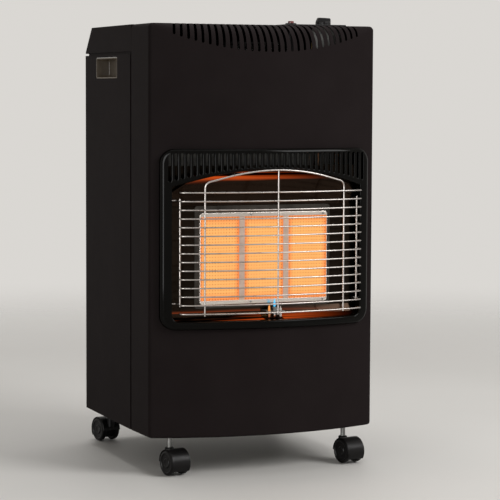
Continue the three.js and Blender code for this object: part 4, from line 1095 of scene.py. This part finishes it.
def castor_wheel(name, side, place):
    """One of a castor's two wheels, with a dished outer face."""
    near = WHEEL_INNER
    far = WHEEL_INNER + WHEEL_WIDTH
    r = WHEEL_RADIUS
    profile = [(3.2, near + 0.6), (6.5, near), (r - 2.4, near), (r - 0.9, near + 0.5),
               (r - 0.2, near + 1.6), (r, near + 3.2), (r, far - 3.6), (r - 0.25, far - 1.9),
               (r - 1.0, far - 0.6), (r - 2.4, far), (r - 4.2, far), (r - 5.0, far - 0.5),
               (r - 5.6, far - 1.4), (9.0, far - 1.9), (8.2, far - 1.5), (7.4, far - 0.6),
               (6.4, far - 0.4), (5.2, far - 0.9), (2.0, far - 1.1), (0.3, far - 1.1)]
    parts = [lathe([(q, side * along) for q, along in profile], (0, -TRAIL, r), "X", 48)]
    return joined_piece(name, placed(parts, *place), 32)


def swept_hood():
    """The fender's cross-section, as (across, radius), carried round the axle, and its two ends."""
    r = HOOD_RADIUS
    section = [(-17.0, r - 1.3), (-17.0, r - 0.6), (-16.7, r - 0.2), (-16.2, r), (16.2, r), (16.7, r - 0.2),
               (17.0, r - 0.6), (17.0, r - 1.3), (8.4, r - 1.3), (7.9, r - 1.8), (7.9, 14.5), (-7.9, 14.5),
               (-7.9, r - 1.8), (-8.4, r - 1.3)]
    points = []
    for k in range(HOOD_STEPS + 1):
        a = math.radians(-90 + (HOOD_REACH + 90) * k / HOOD_STEPS)
        points += [(x, -TRAIL - r * math.sin(a), WHEEL_RADIUS + r * math.cos(a)) for x, r in section]
    count = len(section)
    faces = grid_faces(HOOD_STEPS + 1, count, closed=True)
    for first in (0, HOOD_STEPS * count):
        for loop in ((0, 1, 2, 3, 4, 5, 6, 7, 8, 13), (13, 8, 9, 12), (12, 9, 10, 11)):
            faces.append(tuple(first + v for v in loop))
    return points, faces


def castor_hood(name, place):
    """The fender over both wheels, with its web and the boss round the stem."""
    web = [(1.0, -7.7), (14.6, -7.7), (15.4, -6.9), (15.4, 6.9), (14.6, 7.7), (1.0, 7.7)]
    top = WHEEL_RADIUS + HOOD_RADIUS
    bore = STEM_RADIUS + 0.4
    boss = [(bore, 26.8), (7.6, 26.8), (7.6, top - 1.2), (6.8, top - 0.2), (6.2, top), (bore, top)]
    parts = [swept_hood(), lathe(web, (0, -TRAIL, WHEEL_RADIUS), "X", 40), lathe(boss, (0, 0, 0), "Z", 32)]
    piece = joined_piece(name, placed(parts, *place), 30)
    round_edges(piece, 0.35, 2, 40)
    return crisp(piece, 35)


def castor_stem(name, place):
    """The pin that the hood swivels on, with its collar under the tray."""
    head = WHEEL_RADIUS + HOOD_RADIUS
    tray = BOTTOM + SHEET + GAP
    profile = [(0.3, head - 12), (3.2, head - 12), (STEM_RADIUS, head - 11), (STEM_RADIUS, tray - 3.0),
               (5.2, tray - 3.0), (5.6, tray - 2.6), (5.6, tray - 0.7), (5.2, tray - GAP),
               (STEM_RADIUS, tray - GAP), (STEM_RADIUS, tray + 12.6), (3.0, tray + 14.6), (0.3, tray + 15)]
    return joined_piece(name, placed([lathe(profile, (0, 0, 0), "Z", 28)], *place), 32)


# ---------------------------------------------------------------- controls

KNOB_X = 131.5
IGNITER_X = 72.2
CONTROL_DEPTH = 58.0
KNOB_RADIUS = 13.0
KNOB_SIDES = 96
KNOB_FLUTES = 24
FLUTE_DEPTH = 0.35
KNOB_LOW = TOP - 3.0
KNOB_HIGH = TOP + 15.3
PLATE_TOP = TOP + GAP + 2.5


def control_knob():
    """A fluted disc with a bar handle across it."""
    r = KNOB_RADIUS
    low = KNOB_LOW
    high = KNOB_HIGH
    profile = [(12.2, low, 0), (r, low + 0.8, 0), (r, low + 2.4, 1), (r, high - 8.4, 1),
               (r - 0.5, high - 6.9, 1), (r - 1.3, high - 6.1, 0), (r - 2.4, high - 6.0, 0),
               (0.3, high - 6.0, 0)]
    disc = []
    for radius, z, fluted in profile:
        for k in range(KNOB_SIDES):
            a = 2 * math.pi * k / KNOB_SIDES
            reach = radius - fluted * FLUTE_DEPTH * (0.5 + 0.5 * math.cos(KNOB_FLUTES * a))
            disc.append((KNOB_X + reach * math.cos(a), CONTROL_DEPTH + reach * math.sin(a), z))
    outline = [(-12.3, high - 7.5), (-11.9, high - 5.5), (-9.4, high - 0.6), (-8.6, high - 0.1),
               (-7.0, high), (10.6, high - 0.7), (11.7, high - 1.2), (12.3, high - 2.2),
               (12.6, high - 7.5)]
    slices = ((-4.5, 1.0), (-3.9, 0.2), (-3.0, 0.0), (3.0, 0.0), (3.9, 0.2), (4.5, 1.0))
    handle = []
    for y, shrink in slices:
        for x, z in outline:
            height = z if z < high - 7 else z - shrink * 0.9
            handle.append((KNOB_X + x * (1 - shrink * 0.05), CONTROL_DEPTH + y, height))
    parts = []
    for points, rows, count in ((disc, len(profile), KNOB_SIDES), (handle, len(slices), len(outline))):
        faces = grid_faces(rows, count, closed=True)
        faces.append(tuple(range(count)))
        faces.append(tuple(range(len(points) - count, len(points))))
        parts.append((points, faces))
    return joined_piece("control_dial", parts, 38)


def piezo_body():
    """The igniter's body under the plate, and its collar."""
    foot = PLATE_TOP + GAP
    profile = [(0.3, TOP - 52), (6.6, TOP - 52), (7.4, TOP - 51), (7.4, foot), (9.1, foot),
               (9.5, PLATE_TOP + 0.7), (9.5, PLATE_TOP + 1.2), (9.2, TOP + 4.8), (8.7, TOP + 5.2),
               (6.0, TOP + 5.2), (5.4, TOP + 4.9), (5.3, TOP + 4.2), (5.3, TOP - 12), (0.3, TOP - 12)]
    return joined_piece("piezo_body", [lathe(profile, (IGNITER_X, CONTROL_DEPTH, 0), "Z", 40)])


def igniter_button():
    """The igniter's cap, slightly dished."""
    z = TOP + 8.7
    profile = [(0.3, TOP - 5), (5.0, TOP - 5), (5.0, z - 1.3), (4.75, z - 0.5), (4.2, z), (3.4, z - 0.1)]
    profile += [(1.8, z - 0.45), (0.3, z - 0.55)]
    return joined_piece("igniter_cap", [lathe(profile, (IGNITER_X, CONTROL_DEPTH, 0), "Z", 36)])


# ---------------------------------------------------------------- hand grips and screen

GRIP_FRONT = 167.0
GRIP_BACK = 285.0
GRIP_LOW = BOTTOM + 588.0
GRIP_HIGH = BOTTOM + 624.0
GRIP_DEPTH = 26.0
GRIP_SHEET = 1.2
GRIP_FLOOR = 178.0
SCREEN_HALF = 60.0
SCREEN_LOW = BOTTOM + 552.0
SCREEN_HIGH = TOP - 27.0
SCREEN_DEPTH = 54.6
SCREEN_PITCH = 5.2
SCREEN_ROW = SCREEN_PITCH * 0.866
SCREEN_ROWS = 15
SCREEN_COLUMNS = 22
SCREEN_FIRST = -56
SCREEN_RIM = 5
SCREEN_HOLE = 1.75


def grip_cup(side):
    """A moulded cup with a thin rim and rounded corners."""
    loops = []
    x = HALF_WIDTH - 0.1
    steps = [(0.3, x - 1.4, 4.0), (0.3, x - 0.3, 4.0), (0.8, x, 3.6), (1.8, x, 3.2), (2.3, x - 0.5, 3.0),
             (2.6, x - 4, 3.0), (3.2, x - GRIP_DEPTH + 4.5, 4.0), (4.2, x - GRIP_DEPTH + 2.6, 5.0),
             (6.0, x - GRIP_DEPTH + 2.0, 5.0)]
    for inset, across, radius in steps:
        high = GRIP_HIGH - inset
        outline = rounded_box(GRIP_FRONT + inset, GRIP_BACK - inset, GRIP_LOW + inset, high, radius)
        loops.append([(side * across, y, z) for y, z in outline])
    points = [p for loop in loops for p in loop]
    count = len(loops[0])
    faces = grid_faces(len(loops), count, closed=True)
    faces.append(tuple(range(len(points) - count, len(points))))
    piece = mesh_piece("grip_cup_left" if side < 0 else "grip_cup_right", points, faces)
    weld(piece)
    deep = [p for p in piece.data.polygons if abs(p.center.x) < GRIP_FLOOR * SCALE]
    if side * sum(p.normal.x * p.area for p in deep) < 0:
        piece.data.flip_normals()
    thicken(piece, GRIP_SHEET)
    return crisp(piece, 40)


def vent_screen():
    """The perforated sheet under the louvres."""
    outer = [(-SCREEN_HALF, SCREEN_LOW), (SCREEN_HALF, SCREEN_LOW)]
    outer += [(SCREEN_HALF, SCREEN_HIGH), (-SCREEN_HALF, SCREEN_HIGH)]
    six = np.arange(6) * math.pi / 3
    holes = []
    for row in range(SCREEN_ROWS):
        z = SCREEN_HIGH - SCREEN_RIM - row * SCREEN_ROW
        for column in range(SCREEN_COLUMNS):
            x = SCREEN_FIRST + column * SCREEN_PITCH + (row % 2) * SCREEN_PITCH / 2
            holes.append([(x + SCREEN_HOLE * math.cos(a), z + SCREEN_HOLE * math.sin(a)) for a in six])
    corners, faces = triangles(*chained([outer, *holes]))
    outside = len(outer)

    def in_one_hole(face):
        return min(face) >= outside and len({(v - outside) // len(six) for v in face}) == 1

    faces = [face for face in faces if not in_one_hole(face)]
    piece = mesh_piece("vent_screen", [(x, SCREEN_DEPTH, z) for x, z in corners], faces)
    face_front(piece)
    thicken(piece, 1.0)
    return crisp(piece, 40)


# ---------------------------------------------------------------- the CAD's nodes


def smooth_by_angle():
    """A node group that shades a mesh smooth, apart from its sharp edges."""
    group = bpy.data.node_groups.new("smooth_by_angle", "GeometryNodeTree")
    group.interface.new_socket("Geometry", in_out="INPUT", socket_type="NodeSocketGeometry")
    group.interface.new_socket("Geometry", in_out="OUTPUT", socket_type="NodeSocketGeometry")
    start = group.nodes.new("NodeGroupInput")
    end = group.nodes.new("NodeGroupOutput")
    faces = group.nodes.new("GeometryNodeSetShadeSmooth")
    edges = group.nodes.new("GeometryNodeSetShadeSmooth")
    edges.domain = "EDGE"
    edges.inputs["Shade Smooth"].default_value = False
    angle = group.nodes.new("GeometryNodeInputMeshEdgeAngle")
    sharp = group.nodes.new("FunctionNodeCompare")
    sharp.operation = "GREATER_THAN"
    sharp.inputs["B"].default_value = math.radians(32)
    group.links.new(angle.outputs["Unsigned Angle"], sharp.inputs["A"])
    group.links.new(start.outputs[0], faces.inputs["Geometry"])
    group.links.new(faces.outputs["Geometry"], edges.inputs["Geometry"])
    group.links.new(sharp.outputs["Result"], edges.inputs["Selection"])
    group.links.new(edges.outputs["Geometry"], end.inputs[0])
    return group


EDGE_RADII = {
    "side_panel_left": 0.9,
    "side_panel_right": 0.9,
    "top_cover": 1.1,
    "rear_cover": 0.35,
    "control_plate": 0.7,
    "base_tray": 0.4,
}


def soften(node, group, radius):
    """Joins a node's triangles, and rounds and shades its edges, by modifiers alone."""
    joined = node.modifiers.new("join", "WELD")
    joined.merge_threshold = 0.000002
    if radius:
        add_bevel(node, radius, 3, 40)
    shade = node.modifiers.new("shade", "NODES")
    shade.node_group = group
    weight_normals(node)


# ---------------------------------------------------------------- the object's surfaces

SLOT_MATERIALS = {slot: finish(*look, **rest).owner for slot, (*look, rest) in FINISHES.items()}
SLOT_MATERIALS["ceramic"] = glowing_ceramic()
# The firebox sheets are near black as painted shade; the reflectors also carry a painted glow.
PAINTED_SHADE_SHEETS = {
    "firebox": painted_dark_sheet(
        "painted_shade_steel", (0.010, 0.0075, 0.0055), (0.020, 0.014, 0.010), (0.12, 0.24)
    ).owner,
    "reflector_top": painted_glow_reflection("painted_glow_on_top_sheet", BOTTOM + 415, BOTTOM + 432, (-60, 130)),
    "reflector_floor": painted_glow_reflection("painted_glow_on_floor_sheet", BOTTOM + 209, BOTTOM + 194, (-60, 170)),
}


def dress_cad_nodes():
    group = smooth_by_angle()
    for row in frame["record"]["subparts"]:
        node = frame["nodes"][row["node"]]
        node.data.materials.clear()
        node.data.materials.append(PAINTED_SHADE_SHEETS.get(row["node"], SLOT_MATERIALS[row["material_slot"]]))
        if not node.hide_render:
            soften(node, group, EDGE_RADII.get(row["node"], 0.0))


def build_cabinet():
    finished(front_shell(), "cabinet", "body_paint", "front_shell")
    finished(window_bezel(), "cabinet", "black_enamel", "window_bezel")
    finished(wire_guard(), "cabinet", "chrome_wire", "wire_guard")
    # Black enamel on the screen is painted shade that keeps the louvre slots dark.
    finished(vent_screen(), "cabinet", "black_enamel", "upper_screen")
    for side, name in ((-1, "left"), (1, "right")):
        finished(grip_cup(side), "cabinet", "grip_plastic", f"hand_grip_{name}")


def build_burner():
    finished(burner_frame(), "cabinet", "polished_steel", "burner_frame")
    finished(burner_screws(), "cabinet", "zinc_steel")
    finished(burner_gasket(), "cabinet", "black_enamel", material=scorched_steel())
    for index, side in ((-1, "left"), (0, "centre"), (1, "right")):
        finished(plaque(index, f"plaque_{side}"), "cabinet", "ceramic", f"ceramic_plaque_{side}")
    strip = strip_steel()
    for index, side in ((-0.5, "left"), (0.5, "right")):
        piece = flame_strip(index, f"strip_{side}")
        finished(piece, "cabinet", "zinc_steel", f"flame_strip_{side}", material=strip)
    finished(flame_tongue(), "cabinet", "porcelain", material=flame_material())
    finished(thermocouple_tip(), "cabinet", "copper", material=hot_tip())


def build_controls():
    finished(control_knob(), "knob", "black_plastic", "control_knob")
    finished(piezo_body(), "cabinet", "black_plastic", "piezo_igniter")
    finished(igniter_button(), "button", "red_plastic", "igniter_button")


def build_castors():
    for name, place in CASTORS.items():
        hood = castor_hood(f"{name}_fender", place)
        finished(hood, f"{name}_fork", "black_plastic", f"{name}_castor_hood")
        stem = castor_stem(f"{name}_pivot", place)
        finished(stem, "cabinet", "zinc_steel", f"{name}_castor_stem")
        for letter, side in (("a", -1), ("b", 1)):
            wheel = castor_wheel(f"{name}_tyre_{letter}", side, place)
            finished(wheel, f"{name}_{letter}", "black_plastic", f"{name}_wheel_{letter}")


build_cabinet()
build_burner()
build_controls()
build_castors()
dress_cad_nodes()

# ---------------------------------------------------------------- camera, floor and light

YAW = math.radians(21.83)
PITCH = math.radians(4.60)
ROLL = math.radians(0.25)
EYE = (-1241.6, -3040.9, 631.9)
SENSOR = 36
PHOTO_WIDTH = 500
PHOTO_FOCAL = 1983.8
FLOOR_HALF = 12.0
FLOOR_DROP = 0.0005
AIM = (0.0, 0.0, 0.4)


def photo_camera():
    """A camera at the photograph's place and angle."""
    forward = Vector((math.sin(YAW) * math.cos(PITCH), math.cos(YAW) * math.cos(PITCH), -math.sin(PITCH)))
    level = Vector((math.cos(YAW), -math.sin(YAW), 0))
    upright = level.cross(forward)
    right = level * math.cos(ROLL) + upright * math.sin(ROLL)
    up = right.cross(forward)
    data = bpy.data.cameras.new("camera")
    data.sensor_width = SENSOR
    data.lens = PHOTO_FOCAL / PHOTO_WIDTH * SENSOR
    data.clip_end = 50
    camera = bpy.data.objects.new("camera", data)
    bpy.context.scene.collection.objects.link(camera)
    rows = [(right[i], up[i], -forward[i], mm(EYE)[0][i]) for i in range(3)]
    camera.matrix_world = Matrix((*rows, (0, 0, 0, 1)))
    bpy.context.scene.camera = camera


def floor():
    """A pale floor that fades out far from the object."""
    half = FLOOR_HALF
    corners = [(-half, -half, 0), (half, -half, 0), (half, half, 0), (-half, half, 0)]
    mesh = bpy.data.meshes.new("floor")
    mesh.from_pydata(corners, [], [(0, 1, 2, 3)])
    piece = bpy.data.objects.new("floor", mesh)
    bpy.context.scene.collection.objects.link(piece)
    piece.location.z = -FLOOR_DROP
    graph = Graph(bpy.data.materials.new("pale_floor"))
    space = graph.space()
    far = graph.add("VectorMath", {0: space}, operation="LENGTH").outputs["Value"]
    graph.shade({
        "Base Color": graph.ramp(graph.noise(space, 1.5), (0.60, 0.585, 0.56), (0.63, 0.615, 0.59)),
        "Roughness": 0.6,
        "Alpha": graph.ranged(far, 0.9, 3.2, 1.0, 0.0, "SMOOTHSTEP"),
    })
    mesh.materials.append(graph.owner)


def soft_light(name, place, width, height, power):
    """A rectangular lamp that faces the object."""
    data = bpy.data.lights.new(name, "AREA")
    data.shape = "RECTANGLE"
    data.size = width
    data.size_y = height
    data.energy = power
    lamp = bpy.data.objects.new(name, data)
    lamp.location = place
    lamp.rotation_euler = (Vector(AIM) - Vector(place)).to_track_quat("-Z", "Y").to_euler()
    bpy.context.scene.collection.objects.link(lamp)
    return lamp


def studio():
    """Pale surroundings, shown to the eye, to gloss and to glass, and four soft lamps."""
    world = bpy.data.worlds.new("studio")
    bpy.context.scene.world = world
    graph = Graph(world)
    ray = graph.add("LightPath", {}).outputs
    mirrored = graph.math("MAXIMUM", ray["Is Glossy Ray"], ray["Is Transmission Ray"])
    shown = graph.math("MAXIMUM", ray["Is Camera Ray"], mirrored)
    strength = graph.ranged(shown, 0.0, 1.0, 0.40, 1.0)
    graph.feed(graph.nodes["Background"], {"Strength": strength, "Color": (0.70, 0.68, 0.65, 1)})
    soft_light("key", (1.9, -2.2, 2.0), 1.6, 1.6, 72)
    soft_light("fill", (-2.4, -1.8, 1.2), 1.8, 1.8, 6)
    soft_light("top", (0.2, 0.4, 3.0), 2.0, 2.0, 40)
    # This lamp shows only as gloss, along rolled edges and wires.
    sheen = soft_light("sheen", (-2.1, -2.1, 0.9), 1.4, 1.8, 63)
    sheen.visible_diffuse = False
    bpy.context.scene.view_settings.view_transform = "Standard"


photo_camera()
floor()
studio()
